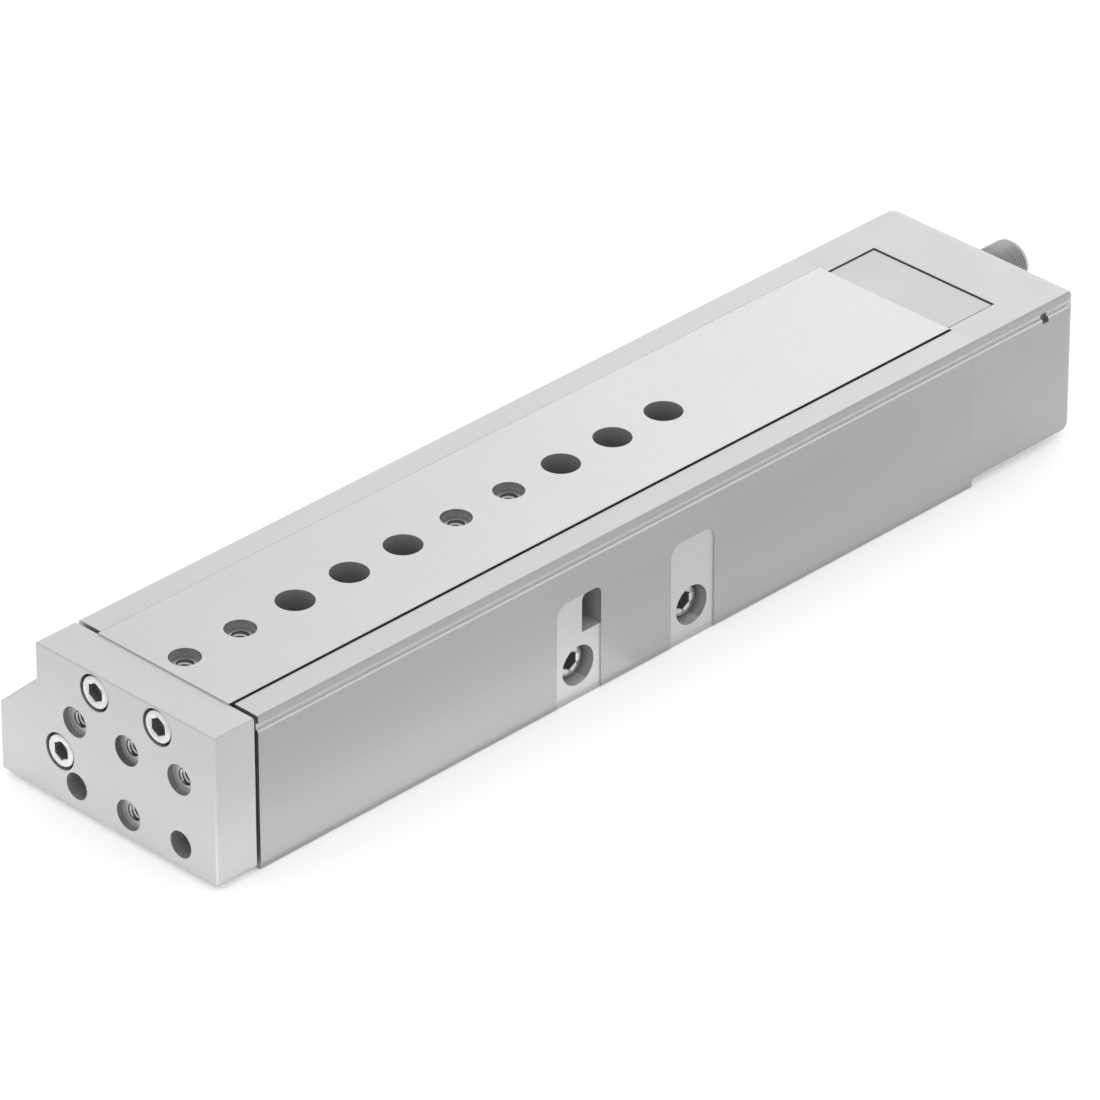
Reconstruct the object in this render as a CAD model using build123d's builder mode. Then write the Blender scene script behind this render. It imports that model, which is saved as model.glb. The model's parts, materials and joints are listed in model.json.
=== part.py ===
from build123d import *
import math
import os

# Pneumatic slide table in millimetres: X runs across, +Y to the rear and +Z up.
# The slide advances towards -Y. The origin lies on the mounting base, on the line of the
# slide's hole row and in the middle of the mounting screws.

# Travel and row of holes along the slide
stroke = 150.0
hole_pitch = 20.0
hole_count = 10
first_hole = 6.3  # behind the housing's front face
thread_rows = (0, 1, 5, 6)  # holes for the load, the others give access to the base
access_rows = tuple(row for row in range(hole_count) if row not in thread_rows)

# Outer section, seen from the front
base_wall = 4.6  # below the cylinder's bore
right_lip = 4.05  # wall outside the right rail
left_lip = 3.85  # wall outside the left rail
flange_width = 14.7  # cylinder flange beyond the left side
flange_height = 22.5
shoulder_drop = 11.5  # upper end of the flange's slope below the top
edge_radius = 0.8
cap_corner_radius = 5.0

# Lengths along the travel
housing_length = 275.5
cap_length = 43.0
yoke_thickness = 14.2
yoke_gap = 1.5  # between yoke and housing
slide_setback = 0.5  # between the slide's rear end and the rear cap
stop_plate_gap = 0.7  # between stop plate and the bridge of the rear cap
seam = 0.6  # visible joint around the slide
cap_left_step = 3.4  # opening of the rear cap inside the trough's left wall
cap_right_step = 1.6
cap_lift = 2.7  # underside of the rear cap above the base
yoke_lift = 1.6  # underside of the yoke above the base

# Slide
slide_width = 49.8
slide_clearance = 1.05  # underside of the slide above the ledges of the rails
slide_rise = 0.45  # ground top above the housing's top
lip_height = 4.0  # top lips of housing and slide, above the ball tracks
stop_plate_drop = 0.3  # matte top of the stop plate below the housing's top
relief_width = 26.0
relief_depth = 1.2
access_diameter = 11.0
centring_diameter = 9.0
centring_depth = 2.1
m6_core = 5.0
thread_depth = 10.0

# Ball guide
rail_width = 4.0
rail_height = 10.0
ball_diameter = 4.0
ball_play = 0.05
ball_count = 12
cage_thickness = 1.0
cage_height = 5.6
cage_clearance = 0.6
cage_margin = 3.0
end_stop_thickness = 2.5
end_stop_setback = 0.5
end_stop_drop = 0.4  # upper side of the end stops below the slide's lips
end_stop_reach = 1.5  # into the gap between rail and slide
end_screw_diameter = 2.0
end_screw_length = 8.0
end_screw_inset = 1.6

# Housing
floor_thickness = 6.0
clamp_block_width = 13.0  # thick lower part of the right wall
clamp_block_gap = 0.7  # below the right lug's path
groove_depth = 1.0  # groove under the right top lip
groove_width = 2.0
groove_drop = 2.5
groove_chamfer = 0.5
mount_hole_diameter = 6.6
spot_face_depth = 0.5

# Side pockets, window and clamp screws
pocket_width = 17.0
pocket_depth = 0.4
pocket_drop = 15.0  # upper edge of the pockets below the top
pocket_radius = 4.0
pocket_spacing = 44.0
window_width = 7.0
window_height = 12.1
window_radius = 2.5
window_lead = 1.5  # rear edge of the window behind the stop's contact plane
clamp_screw_z = 10.6
clamp_bore_diameter = 12.0
clamp_bore_depth = 9.5

# Cylinder
bore_diameter = 25.0
cylinder_wall = 3.0
block_step = 0.75  # flat top of the cylinder block beside the ledge of the left rail
block_clearance = 0.8  # top of the cylinder block below the ledges of the rails
rod_diameter = 10.0
spigot_diameter = 8.0
gland_shoulder = 0.5  # seat of the gland beyond the bore's wall
gland_length = 19.0
gland_neck_length = 5.0
gland_neck_diameter = 18.0
piston_half = 8.0
magnet_width = 4.0
magnet_hub_diameter = 16.0
magnet_clearance = 0.5  # magnet within the bore's wall
piston_gap = 1.0
nut_height = 5.0
nut_width = 13.0
circlip_thickness = 1.2
circlip_setback = 1.0
circlip_depth = 1.0
circlip_width = 3.0
circlip_opening = 8.0
seal_width = 2.4
seal_depth = 2.0
seal_inset = 3.0
rod_seal_width = 4.0
rod_seal_depth = 2.5
wiper_width = 3.0
wiper_lip = 0.8
port_diameter = 8.6
port_depth = 7.5
passage_diameter = 3.0

# Slots for position sensors in the flange
slot_mouth = 3.0
slot_width = 4.6
slot_depth = 4.2
slot_lip = 1.2
lower_slot_z = 6.5

# Shock absorbers and stops
absorber_diameter = 14.0
absorber_length = 44.1
absorber_stroke = 8.0
absorber_chamfer = 0.8
adjuster_width = 2.0
adjuster_depth = 2.5
plunger_diameter = 4.0
plunger_guide = 12.0
bumper_diameter = 9.0
bumper_length = 4.5
bumper_chamfer = 0.8
contact_gap = 0.4
rear_absorber_offset = 8.35  # left of the hole row
rear_absorber_drop = 16.0  # axis below the top
lock_nut_width = 17.0
lock_nut_height = 5.0
lock_nut_gap = 0.75  # below the slide
lock_nut_play = 0.7  # recess around the nut's corners
lug_thickness = 6.0
slab_thickness = 8.6
left_lug_width = 7.0
left_lug_reach = 4.4  # below the absorber's axis
right_lug_width = 13.0
right_lug_reach = 6.0
carrier_length = 26.0
carrier_width = 19.0
carrier_setback = 2.0  # carrier's rear face in front of the barrel's end
carrier_wall_gap = 1.9  # between the upright and the right wall
carrier_top_gap = 0.85  # below the slide
carrier_play = 0.3
bar_width = 13.0
bar_step = 0.5  # top of the bar below the clamp block's
bar_tail = 9.5  # bar behind the rear clamp screw

# Front plate
yoke_centre = 0.6  # middle of its holes, right of the slide's hole row
yoke_pitch = 20.0
yoke_row_drop = 18.5  # upper row of holes below the top
yoke_screw_spacing = 24.0
yoke_screw_drop = 6.0
plain_hole_diameter = 8.0
plain_hole_depth = 12.0

# Notch in the groove of the rear cap
notch_width = 2.5
notch_setback = 13.7
notch_depth = 2.0
notch_height = 3.6

# Fits, all radial
fit = 0.05  # between pieces that are fastened together
running = 0.06  # rod in its gland, piston in its bore, plunger in its barrel

# Socket head screws: nominal diameter, head diameter, head height, socket width, length
m6_screw = (6.0, 10.0, 6.0, 5.0, 20.0)
clamp_screw = (6.0, 10.0, 6.0, 5.0, 16.0)
stop_screw = (4.0, 7.0, 4.0, 3.0, 25.0)
cap_screw = (4.0, 7.0, 4.0, 3.0, 48.0)
head_play = 0.5  # counterbore around a screw head
head_recess = 0.2
right_cap_screws = ((5.15, 24.5), (6.35, 9.0))  # inset from the side, height
left_cap_screws = ((8.35, 8.0), (7.35, 21.0))
cap_screw_drop = 2.0 # deeper than the head's recess, inside the rounded corners
stop_screw_spacing = 30.0
tap_allowance = 1.0  # tapped hole beyond the screw's end

# Heights that follow from the cylinder and the ball guide above it
bore_z = base_wall + bore_diameter / 2
block_radius = bore_diameter / 2 + cylinder_wall
rail_bottom = bore_z + block_radius + block_clearance
rail_top = rail_bottom + rail_height
height = rail_top + lip_height
slide_top = height + slide_rise
slide_bottom = rail_bottom + slide_clearance
groove_top = height - groove_drop
groove_bottom = groove_top - groove_width
shoulder_top = height - shoulder_drop
pocket_top = height - pocket_drop
ball_z = rail_top - rail_height / 2
front_absorber_z = slide_bottom - lock_nut_gap - lock_nut_width / 2
rear_absorber_z = height - rear_absorber_drop
carrier_top = slide_bottom - carrier_top_gap
left_lug_bottom = rear_absorber_z - left_lug_reach
right_lug_bottom = front_absorber_z - right_lug_reach
clamp_block_height = right_lug_bottom - clamp_block_gap
yoke_upper_row = height - yoke_row_drop
yoke_screw_z = height - yoke_screw_drop

# Places across the travel that follow from the slide's width
half_slide = slide_width / 2
trough_half = half_slide + seam
ball_x = half_slide + seam / 2
track_radius = ball_diameter / 2 + ball_play
rail_inner = ball_x + cage_thickness / 2 + cage_clearance
rail_outer = rail_inner + rail_width
slide_flank = ball_x - cage_thickness / 2 - cage_clearance
plate_flank = ball_x - ball_diameter / 2 - cage_clearance
right_side = rail_outer + right_lip
left_side = rail_outer + left_lip
flange_side = left_side + flange_width
cap_opening_left = cap_left_step - trough_half
cap_opening_right = trough_half - cap_right_step
stop_plate_left = cap_opening_left + seam
stop_plate_right = cap_opening_right - seam
bore_x = block_step - rail_inner
front_absorber_x = rail_inner - carrier_wall_gap - carrier_width / 2
rear_absorber_x = -rear_absorber_offset
clamp_block_inner = right_side - clamp_block_width
cap_screw_points = [(right_side - inset, z) for inset, z in right_cap_screws]
cap_screw_points += [(inset - flange_side, z) for inset, z in left_cap_screws]

# Places along the travel
front_face = -(first_hole + hole_pitch * sum(access_rows) / len(access_rows))
housing_rear = front_face + housing_length
cap_rear = housing_rear + cap_length
slide_rear = housing_rear - slide_setback
yoke_rear = front_face - yoke_gap
yoke_front = yoke_rear - yoke_thickness

contact_y = housing_rear - stroke  # front face of the lugs with the slide advanced
front_tip = contact_y - contact_gap
rear_tip = housing_rear + lug_thickness + contact_gap
barrel_setback = bumper_length + absorber_stroke + contact_gap
carrier_rear = front_tip - barrel_setback - carrier_setback
carrier_front = carrier_rear - carrier_length
bridge_front = rear_tip + barrel_setback
stop_plate_rear = bridge_front - stop_plate_gap
stop_plate_length = stop_plate_rear - slide_rear
window_rear = contact_y + window_lead
front_pocket = window_rear - pocket_width / 2
rear_pocket = front_pocket + pocket_spacing

gland_diameter = bore_diameter + 2 * gland_shoulder
magnet_diameter = bore_diameter - 2 * magnet_clearance
gland_front = front_face + circlip_setback + circlip_thickness
gland_rear = gland_front + gland_length
piston_front = gland_rear + piston_gap + stroke
hub_front = piston_front + piston_half
hub_rear = hub_front + magnet_width
piston_rear = hub_rear + piston_half
bore_end = piston_rear + nut_height + 2 * piston_gap
front_port = gland_rear - gland_neck_length / 2
rear_port = bore_end - nut_height / 2 - piston_gap

rail_front = front_face + end_stop_setback + end_stop_thickness
rail_rear = housing_rear - end_stop_setback - end_stop_thickness
cage_rear = rail_rear - cage_margin
cage_front = rail_front + cage_margin + stroke / 2
ball_pitch = (cage_rear - cage_front) / ball_count
end_screw_x = rail_outer - end_screw_inset
end_screw_z = rail_top - end_screw_inset


def across(y):
    """Plane across the travel at y, seen from the front: local x is X and local y is Z."""
    return Plane.XZ.offset(-y)


def facing_rear(x, y, z):
    """Plane at a point with its normal towards the rear."""
    return Plane(origin=(x, y, z), x_dir=(1, 0, 0), z_dir=(0, 1, 0))


def facing_front(x, y, z):
    """Plane at a point with its normal towards the front."""
    return Plane(origin=(x, y, z), x_dir=(1, 0, 0), z_dir=(0, -1, 0))


def facing_right(y, z):
    """Plane on the right side face with its normal outwards."""
    return Plane(origin=(right_side, y, z), x_dir=(0, 1, 0), z_dir=(1, 0, 0))


def facing_left(y, z):
    """Plane on the flange's side face with its normal outwards."""
    return Plane(origin=(-flange_side, y, z), x_dir=(0, -1, 0), z_dir=(-1, 0, 0))


def lathe_plane(x, z):
    """Plane for a turned profile about the line at (x, z): local x is Y, local y the radius."""
    return Plane(origin=(x, 0, z), x_dir=(0, 1, 0), z_dir=(1, 0, 0))


def lathe_axis(x, z):
    """Line along the travel at (x, z)."""
    return Axis((x, 0, z), (0, 1, 0))


cylinder_plane = lathe_plane(bore_x, bore_z)
cylinder_axis = lathe_axis(bore_x, bore_z)


def hole_y(row):
    """Position of a hole of the slide's row."""
    return front_face + first_hole + hole_pitch * row


def body_outline(bottom):
    """Outer section that housing, rear cap and yoke share."""
    with BuildSketch() as outline:
        with BuildLine():
            Polyline(
                (right_side, bottom),
                (right_side, height),
                (-left_side, height),
                (-left_side, shoulder_top),
                (-flange_side, flange_height),
                (-flange_side, bottom),
                close=True,
            )
        make_face()
        fillet(outline.vertices(), edge_radius)
    return outline.sketch


def trough_outline():
    """Open section of the trough, with the round of the cylinder block at its lower left."""
    block_top = bore_z + block_radius
    block_right = bore_x + block_radius
    with BuildSketch() as trough:
        with BuildLine():
            Polyline(
                (bore_x, block_top),
                (-rail_inner, block_top),
                (-rail_inner, rail_bottom),
                (-trough_half, rail_bottom),
                (-trough_half, height),
                (trough_half, height),
                (trough_half, rail_bottom),
                (rail_inner, rail_bottom),
                (rail_inner, clamp_block_height),
                (clamp_block_inner, clamp_block_height),
                (clamp_block_inner, floor_thickness),
                (block_right, floor_thickness),
                (block_right, bore_z),
            )
            CenterArc((bore_x, bore_z), block_radius, 0, 90)
        make_face()
    return trough.sketch


def groove_outline():
    """Groove under the right top lip, with a chamfered lower edge."""
    with BuildSketch() as groove:
        with BuildLine():
            Polyline(
                (right_side - groove_depth, groove_top),
                (right_side - groove_depth, groove_bottom),
                (right_side - groove_chamfer, groove_bottom),
                (right_side, groove_bottom - groove_chamfer),
                (right_side + groove_depth, groove_bottom - groove_chamfer),
                (right_side + groove_depth, groove_top),
                close=True,
            )
        make_face()
    return groove.sketch


def slot_outline(x, z, angle):
    """Undercut slot for a sensor, its mouth at (x, z) and its depth turned by the angle."""
    with BuildSketch() as slot:
        with Locations((0, fit - slot_lip / 2)):
            Rectangle(slot_mouth, slot_lip + 2 * fit)
        with Locations((0, -(slot_lip + slot_depth) / 2)):
            Rectangle(slot_width, slot_depth - slot_lip)
    return Location((x, z, 0), (0, 0, angle)) * slot.sketch


def track_outline():
    """Sections of the two ball tracks."""
    with BuildSketch() as tracks:
        with Locations((ball_x, ball_z), (-ball_x, ball_z)):
            Circle(track_radius)
    return tracks.sketch


def socket_screw(size):
    """Socket head screw with its head's top at the origin and its shank along -Z."""
    nominal, head, head_height, socket, length = size
    downwards = (Align.CENTER, Align.CENTER, Align.MAX)
    with BuildPart() as screw:
        Cylinder(head / 2, head_height, align=downwards)
        chamfer(screw.edges().group_by(Axis.Z)[-1], head_recess)
        with Locations((0, 0, -head_height)):
            Cylinder(nominal / 2 - fit, length, align=downwards)
        with BuildSketch():
            RegularPolygon(socket / 2, 6, major_radius=False)
        extrude(amount=-head_height / 2, mode=Mode.SUBTRACT)
    return Pos(0, 0, -head_recess) * screw.part


def screw_seat(size, depth, drop=0):
    """Counterbored hole for a socket screw, its mouth at the origin and its depth along -Z."""
    nominal, head, head_height = size[:3]
    downwards = (Align.CENTER, Align.CENTER, Align.MAX)
    with BuildPart() as seat:
        Cylinder(head / 2 + head_play, head_height + head_recess + drop, align=downwards)
        Cylinder(nominal / 2, depth, align=downwards)
    return seat.part


def tapped_hole(size, depth):
    """Hole for a screw's thread, its mouth at the origin and its depth along -Z."""
    with BuildPart() as hole:
        Cylinder(size[0] / 2, depth, align=(Align.CENTER, Align.CENTER, Align.MAX))
    return hole.part


def hex_nut(width, thickness, bore):
    """Hexagon nut with flat top and bottom sides, its rear face at the origin, along -Z."""
    with BuildPart() as nut:
        with BuildSketch():
            RegularPolygon(width / 2, 6, major_radius=False)
            Circle(bore / 2, mode=Mode.SUBTRACT)
        extrude(amount=-thickness)
    return nut.part


# Housing: extruded body with the trough for the slide and the cylinder block beside it
shoulder_angle = math.degrees(
    math.atan2(shoulder_top - flange_height, flange_width)
)
shoulder_middle = (-left_side - flange_width / 2, (shoulder_top + flange_height) / 2)
with BuildPart() as housing:
    with BuildSketch(across(front_face)):
        add(body_outline(0))
        add(trough_outline(), mode=Mode.SUBTRACT)
        for side in (-1, 1):
            with Locations((side * (trough_half + rail_outer) / 2, ball_z)):
                Rectangle(rail_outer - trough_half, rail_height, mode=Mode.SUBTRACT)
        add(groove_outline(), mode=Mode.SUBTRACT)
        add(slot_outline(-flange_side, lower_slot_z, 90), mode=Mode.SUBTRACT)
        add(slot_outline(*shoulder_middle, shoulder_angle), mode=Mode.SUBTRACT)
    extrude(amount=-housing_length)

    # Cylinder bore with the wider seat of the gland and the groove of its circlip
    with BuildSketch(cylinder_plane):
        with BuildLine():
            Polyline(
                (front_face, 0),
                (front_face, gland_diameter / 2),
                (front_face + circlip_setback, gland_diameter / 2),
                (front_face + circlip_setback, gland_diameter / 2 + circlip_depth),
                (gland_front, gland_diameter / 2 + circlip_depth),
                (gland_front, gland_diameter / 2),
                (gland_rear, gland_diameter / 2),
                (gland_rear, bore_diameter / 2),
                (bore_end, bore_diameter / 2),
                (bore_end, 0),
                close=True,
            )
        make_face()
    revolve(axis=cylinder_axis, mode=Mode.SUBTRACT)

    # Mounting holes under the slide's access holes
    with Locations(*[(0, hole_y(row), floor_thickness) for row in access_rows]):
        CounterBoreHole(
            mount_hole_diameter / 2, access_diameter / 2, spot_face_depth, floor_thickness
        )

    # Side pockets, the window on the front stop and the seats of the clamp screws
    with BuildSketch(Plane.YZ.offset(right_side)):
        with Locations((front_pocket, 0), (rear_pocket, 0)):
            RectangleRounded(pocket_width, 2 * pocket_top, pocket_radius)
    extrude(amount=-pocket_depth, mode=Mode.SUBTRACT)
    with BuildSketch(Plane.YZ.offset(right_side)) as window:
        with Locations((window_rear - window_width / 2, pocket_top)):
            Rectangle(window_width, window_height, align=(Align.CENTER, Align.MAX))
        fillet(window.vertices().group_by(Axis.Y)[-1], window_radius)
    extrude(amount=rail_inner - right_side, mode=Mode.SUBTRACT)
    for y in (front_pocket, rear_pocket):
        with Locations(facing_right(y, clamp_screw_z)):
            CounterBoreHole(
                clamp_screw[0] / 2, clamp_bore_diameter / 2, clamp_bore_depth, clamp_block_width
            )

    # Air ports in the flange, each with a passage into the bore
    for y in (front_port, rear_port):
        with Locations(facing_left(y, bore_z)):
            CounterBoreHole(
                passage_diameter / 2, port_diameter / 2, port_depth, flange_side + bore_x
            )

    # Threads for the screws of the rear cap
    cap_grip = cap_length - cap_screw[2] - head_recess - cap_screw_drop
    cap_thread = cap_screw[4] - cap_grip + tap_allowance
    for x, z in cap_screw_points:
        add(
            facing_rear(x, housing_rear, z) * tapped_hole(cap_screw, cap_thread),
            mode=Mode.SUBTRACT,
        )

# Rear cap: continues the trough for the stop plate and carries the rear shock absorber
lock_nut_recess = lock_nut_width / math.cos(math.radians(30)) + 2 * lock_nut_play
with BuildPart() as rear_cap:
    with BuildSketch(across(housing_rear)):
        add(body_outline(cap_lift))
    extrude(amount=-cap_length)
    fillet(rear_cap.edges().filter_by(Axis.Z).group_by(Axis.Y)[-1], cap_corner_radius)
    with BuildSketch(across(housing_rear)):
        add(groove_outline())
    extrude(amount=-cap_length, mode=Mode.SUBTRACT)
    with BuildSketch(across(housing_rear)):
        add(trough_outline())
        with Locations((cap_opening_left, 0)):
            Rectangle(
                cap_opening_right - cap_opening_left,
                height,
                align=Align.MIN,
                mode=Mode.INTERSECT,
            )
    extrude(amount=housing_rear - bridge_front, mode=Mode.SUBTRACT)
    with Locations(facing_rear(rear_absorber_x, cap_rear, rear_absorber_z)):
        CounterBoreHole(
            absorber_diameter / 2, lock_nut_recess / 2, lock_nut_height, cap_length
        )
    for x, z in cap_screw_points:
        add(
            facing_rear(x, cap_rear, z) * screw_seat(cap_screw, cap_length, cap_screw_drop),
            mode=Mode.SUBTRACT,
        )
    with BuildSketch(Plane.YZ.offset(right_side)):
        with Locations((cap_rear - notch_setback, groove_top)):
            Rectangle(notch_width, notch_height, align=(Align.CENTER, Align.MAX))
    extrude(amount=-notch_depth, mode=Mode.SUBTRACT)

with BuildPart() as cap_screws:
    for x, z in cap_screw_points:
        add(facing_rear(x, cap_rear - cap_screw_drop, z) * socket_screw(cap_screw))

# Slide: ground plate with a ball track in each flank and a relieved underside
slide_length = slide_rear - yoke_rear
stop_screw_z = height - stop_plate_drop - slab_thickness / 2
stop_screw_x = stop_screw_spacing / 2
stop_thread = stop_screw[4] - (stop_plate_length - stop_screw[2] - head_recess) + tap_allowance
yoke_screw_x = [yoke_centre + side * yoke_screw_spacing / 2 for side in (-1, 1)]
yoke_thread = m6_screw[4] - (yoke_thickness - m6_screw[2] - head_recess) + tap_allowance
with BuildPart() as slide:
    with BuildSketch(across(yoke_rear)):
        with BuildLine():
            Polyline(
                (-half_slide, slide_top),
                (half_slide, slide_top),
                (half_slide, rail_top),
                (slide_flank, rail_top),
                (slide_flank, slide_bottom),
                (relief_width / 2, slide_bottom),
                (relief_width / 2, slide_bottom + relief_depth),
                (-relief_width / 2, slide_bottom + relief_depth),
                (-relief_width / 2, slide_bottom),
                (-slide_flank, slide_bottom),
                (-slide_flank, rail_top),
                (-half_slide, rail_top),
                close=True,
            )
        make_face()
        add(track_outline(), mode=Mode.SUBTRACT)
    extrude(amount=-slide_length)
    with Locations(*[(0, hole_y(row), slide_top) for row in access_rows]):
        Hole(access_diameter / 2, slide_top - slide_bottom)
    with Locations(*[(0, hole_y(row), slide_top) for row in thread_rows]):
        CounterBoreHole(
            m6_core / 2, centring_diameter / 2, centring_depth, thread_depth
        )
    for x in yoke_screw_x:
        add(
            facing_front(x, yoke_rear, yoke_screw_z) * tapped_hole(m6_screw, yoke_thread),
            mode=Mode.SUBTRACT,
        )
    for x in (-stop_screw_x, stop_screw_x):
        add(
            facing_rear(x, slide_rear, stop_screw_z) * tapped_hole(stop_screw, stop_thread),
            mode=Mode.SUBTRACT,
        )

# Stop plate: closes the slide at its rear and hangs a lug before each shock absorber
slab_top = height - stop_plate_drop
slab_bottom = slab_top - slab_thickness
with BuildPart() as stop_plate:
    hanging = (Align.MIN, Align.MAX)
    lower_width = plate_flank - stop_plate_left
    with BuildSketch(across(slide_rear)):
        with Locations((stop_plate_left, slab_top)):
            Rectangle(stop_plate_right - stop_plate_left, slab_top - rail_top, align=hanging)
        with Locations((stop_plate_left, rail_top)):
            Rectangle(lower_width, rail_top - slab_bottom, align=hanging)
    extrude(amount=-stop_plate_length)
    with BuildSketch(across(slide_rear)):
        with Locations((stop_plate_left, slab_bottom)):
            Rectangle(lower_width, slab_bottom - slide_bottom, align=hanging)
    extrude(amount=-slide_setback - lug_thickness)
    with BuildSketch(across(housing_rear)):
        with Locations((rear_absorber_x, slab_bottom)):
            Rectangle(
                left_lug_width, slab_bottom - left_lug_bottom, align=(Align.CENTER, Align.MAX)
            )
        with Locations((front_absorber_x, slab_bottom)):
            Rectangle(
                right_lug_width, slab_bottom - right_lug_bottom, align=(Align.CENTER, Align.MAX)
            )
    extrude(amount=-lug_thickness)
    for x in (-stop_screw_x, stop_screw_x):
        add(
            facing_rear(x, stop_plate_rear, stop_screw_z)
            * screw_seat(stop_screw, stop_plate_length),
            mode=Mode.SUBTRACT,
        )

with BuildPart() as stop_plate_screws:
    for x in (-stop_screw_x, stop_screw_x):
        add(facing_rear(x, stop_plate_rear, stop_screw_z) * socket_screw(stop_screw))

# Yoke: front plate that ties the slide to the piston rod and takes the load
yoke_lower_row = yoke_upper_row - yoke_pitch
upper_holes = [(yoke_centre + column * yoke_pitch, yoke_upper_row) for column in (-1, 0, 1)]
threaded_holes = upper_holes + [(yoke_centre, yoke_lower_row)]
plain_holes = [(yoke_centre + side * yoke_pitch, yoke_lower_row) for side in (-1, 1)]
yoke_screw_points = [(x, yoke_screw_z) for x in yoke_screw_x]
with BuildPart() as yoke:
    with BuildSketch(across(yoke_front)):
        add(body_outline(yoke_lift))
    extrude(amount=-yoke_thickness)
    chamfer(yoke.faces().sort_by(Axis.Y)[0].edges(), edge_radius / 2)
    for x, z in threaded_holes:
        with Locations(facing_front(x, yoke_front, z)):
            CounterBoreHole(
                m6_core / 2, centring_diameter / 2, centring_depth, yoke_thickness
            )
    for x, z in plain_holes:
        with Locations(facing_front(x, yoke_front, z)):
            Hole(plain_hole_diameter / 2, plain_hole_depth)
    for x, z in yoke_screw_points + [(bore_x, bore_z)]:
        add(
            facing_front(x, yoke_front, z) * screw_seat(m6_screw, yoke_thickness),
            mode=Mode.SUBTRACT,
        )

with BuildPart() as yoke_screws:
    for x, z in yoke_screw_points:
        add(facing_front(x, yoke_front, z) * socket_screw(m6_screw))

with BuildPart() as rod_screw:
    add(facing_front(bore_x, yoke_front, bore_z) * socket_screw(m6_screw))

# Piston rod with a spigot for the piston, and its thread for the rod screw
with BuildPart() as piston_rod:
    with BuildSketch(cylinder_plane):
        with BuildLine():
            Polyline(
                (yoke_rear, 0),
                (yoke_rear, rod_diameter / 2),
                (piston_front, rod_diameter / 2),
                (piston_front, spigot_diameter / 2 - fit),
                (piston_rear + nut_height, spigot_diameter / 2 - fit),
                (piston_rear + nut_height, 0),
                close=True,
            )
        make_face()
    revolve(axis=cylinder_axis)
    add(
        facing_front(bore_x, yoke_rear, bore_z) * tapped_hole(m6_screw, yoke_thread),
        mode=Mode.SUBTRACT,
    )

# Piston in two halves that hold the magnet ring between them
groove_radius = bore_diameter / 2 - running - seal_depth
piston_radius = bore_diameter / 2 - running
front_groove = piston_front + seal_inset
rear_groove = piston_rear - seal_inset - seal_width
with BuildPart() as piston_front_half:
    with BuildSketch(cylinder_plane):
        with BuildLine():
            Polyline(
                (piston_front, spigot_diameter / 2),
                (piston_front, piston_radius),
                (front_groove, piston_radius),
                (front_groove, groove_radius),
                (front_groove + seal_width, groove_radius),
                (front_groove + seal_width, piston_radius),
                (hub_front, piston_radius),
                (hub_front, magnet_hub_diameter / 2),
                (hub_rear, magnet_hub_diameter / 2),
                (hub_rear, spigot_diameter / 2),
                close=True,
            )
        make_face()
    revolve(axis=cylinder_axis)

with BuildPart() as piston_rear_half:
    with BuildSketch(cylinder_plane):
        with BuildLine():
            Polyline(
                (hub_rear, spigot_diameter / 2),
                (hub_rear, piston_radius),
                (rear_groove, piston_radius),
                (rear_groove, groove_radius),
                (rear_groove + seal_width, groove_radius),
                (rear_groove + seal_width, piston_radius),
                (piston_rear, piston_radius),
                (piston_rear, spigot_diameter / 2),
                close=True,
            )
        make_face()
    revolve(axis=cylinder_axis)

with BuildPart() as piston_magnet:
    with BuildSketch(across(hub_front)):
        with Locations((bore_x, bore_z)):
            Circle(magnet_diameter / 2)
            Circle(magnet_hub_diameter / 2 + fit, mode=Mode.SUBTRACT)
    extrude(amount=-magnet_width)

with BuildPart() as piston_seals:
    for groove in (front_groove, rear_groove):
        with BuildSketch(across(groove + fit)):
            with Locations((bore_x, bore_z)):
                Circle(piston_radius + fit / 2)
                Circle(groove_radius + fit, mode=Mode.SUBTRACT)
        extrude(amount=2 * fit - seal_width)

with BuildPart() as piston_nut:
    add(
        facing_rear(bore_x, piston_rear + nut_height, bore_z)
        * hex_nut(nut_width, nut_height, spigot_diameter)
    )

# Gland: bearing and front cover of the cylinder, with its seals and circlip
gland_radius = gland_diameter / 2 - fit
o_ring_groove = gland_front + (gland_length - gland_neck_length) / 2
rod_seal_front = gland_rear - gland_neck_length - rod_seal_width / 2
with BuildPart() as gland:
    with BuildSketch(cylinder_plane):
        with BuildLine():
            Polyline(
                (gland_front, rod_diameter / 2 + rod_seal_depth),
                (gland_front, gland_radius),
                (o_ring_groove, gland_radius),
                (o_ring_groove, gland_radius - seal_depth),
                (o_ring_groove + seal_width, gland_radius - seal_depth),
                (o_ring_groove + seal_width, gland_radius),
                (gland_rear - gland_neck_length, gland_radius),
                (gland_rear - gland_neck_length, gland_neck_diameter / 2),
                (gland_rear, gland_neck_diameter / 2),
                (gland_rear, rod_diameter / 2 + running),
                (rod_seal_front + rod_seal_width, rod_diameter / 2 + running),
                (rod_seal_front + rod_seal_width, rod_diameter / 2 + rod_seal_depth),
                (rod_seal_front, rod_diameter / 2 + rod_seal_depth),
                (rod_seal_front, rod_diameter / 2 + running),
                (gland_front + wiper_width, rod_diameter / 2 + running),
                (gland_front + wiper_width, rod_diameter / 2 + rod_seal_depth),
                close=True,
            )
        make_face()
    revolve(axis=cylinder_axis)

with BuildPart() as gland_o_ring:
    with BuildSketch(cylinder_plane):
        with Locations(
            (o_ring_groove + seal_width / 2, gland_diameter / 2 - seal_depth / 2)
        ):
            Circle(seal_depth / 2 - fit)
    revolve(axis=cylinder_axis)

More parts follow.
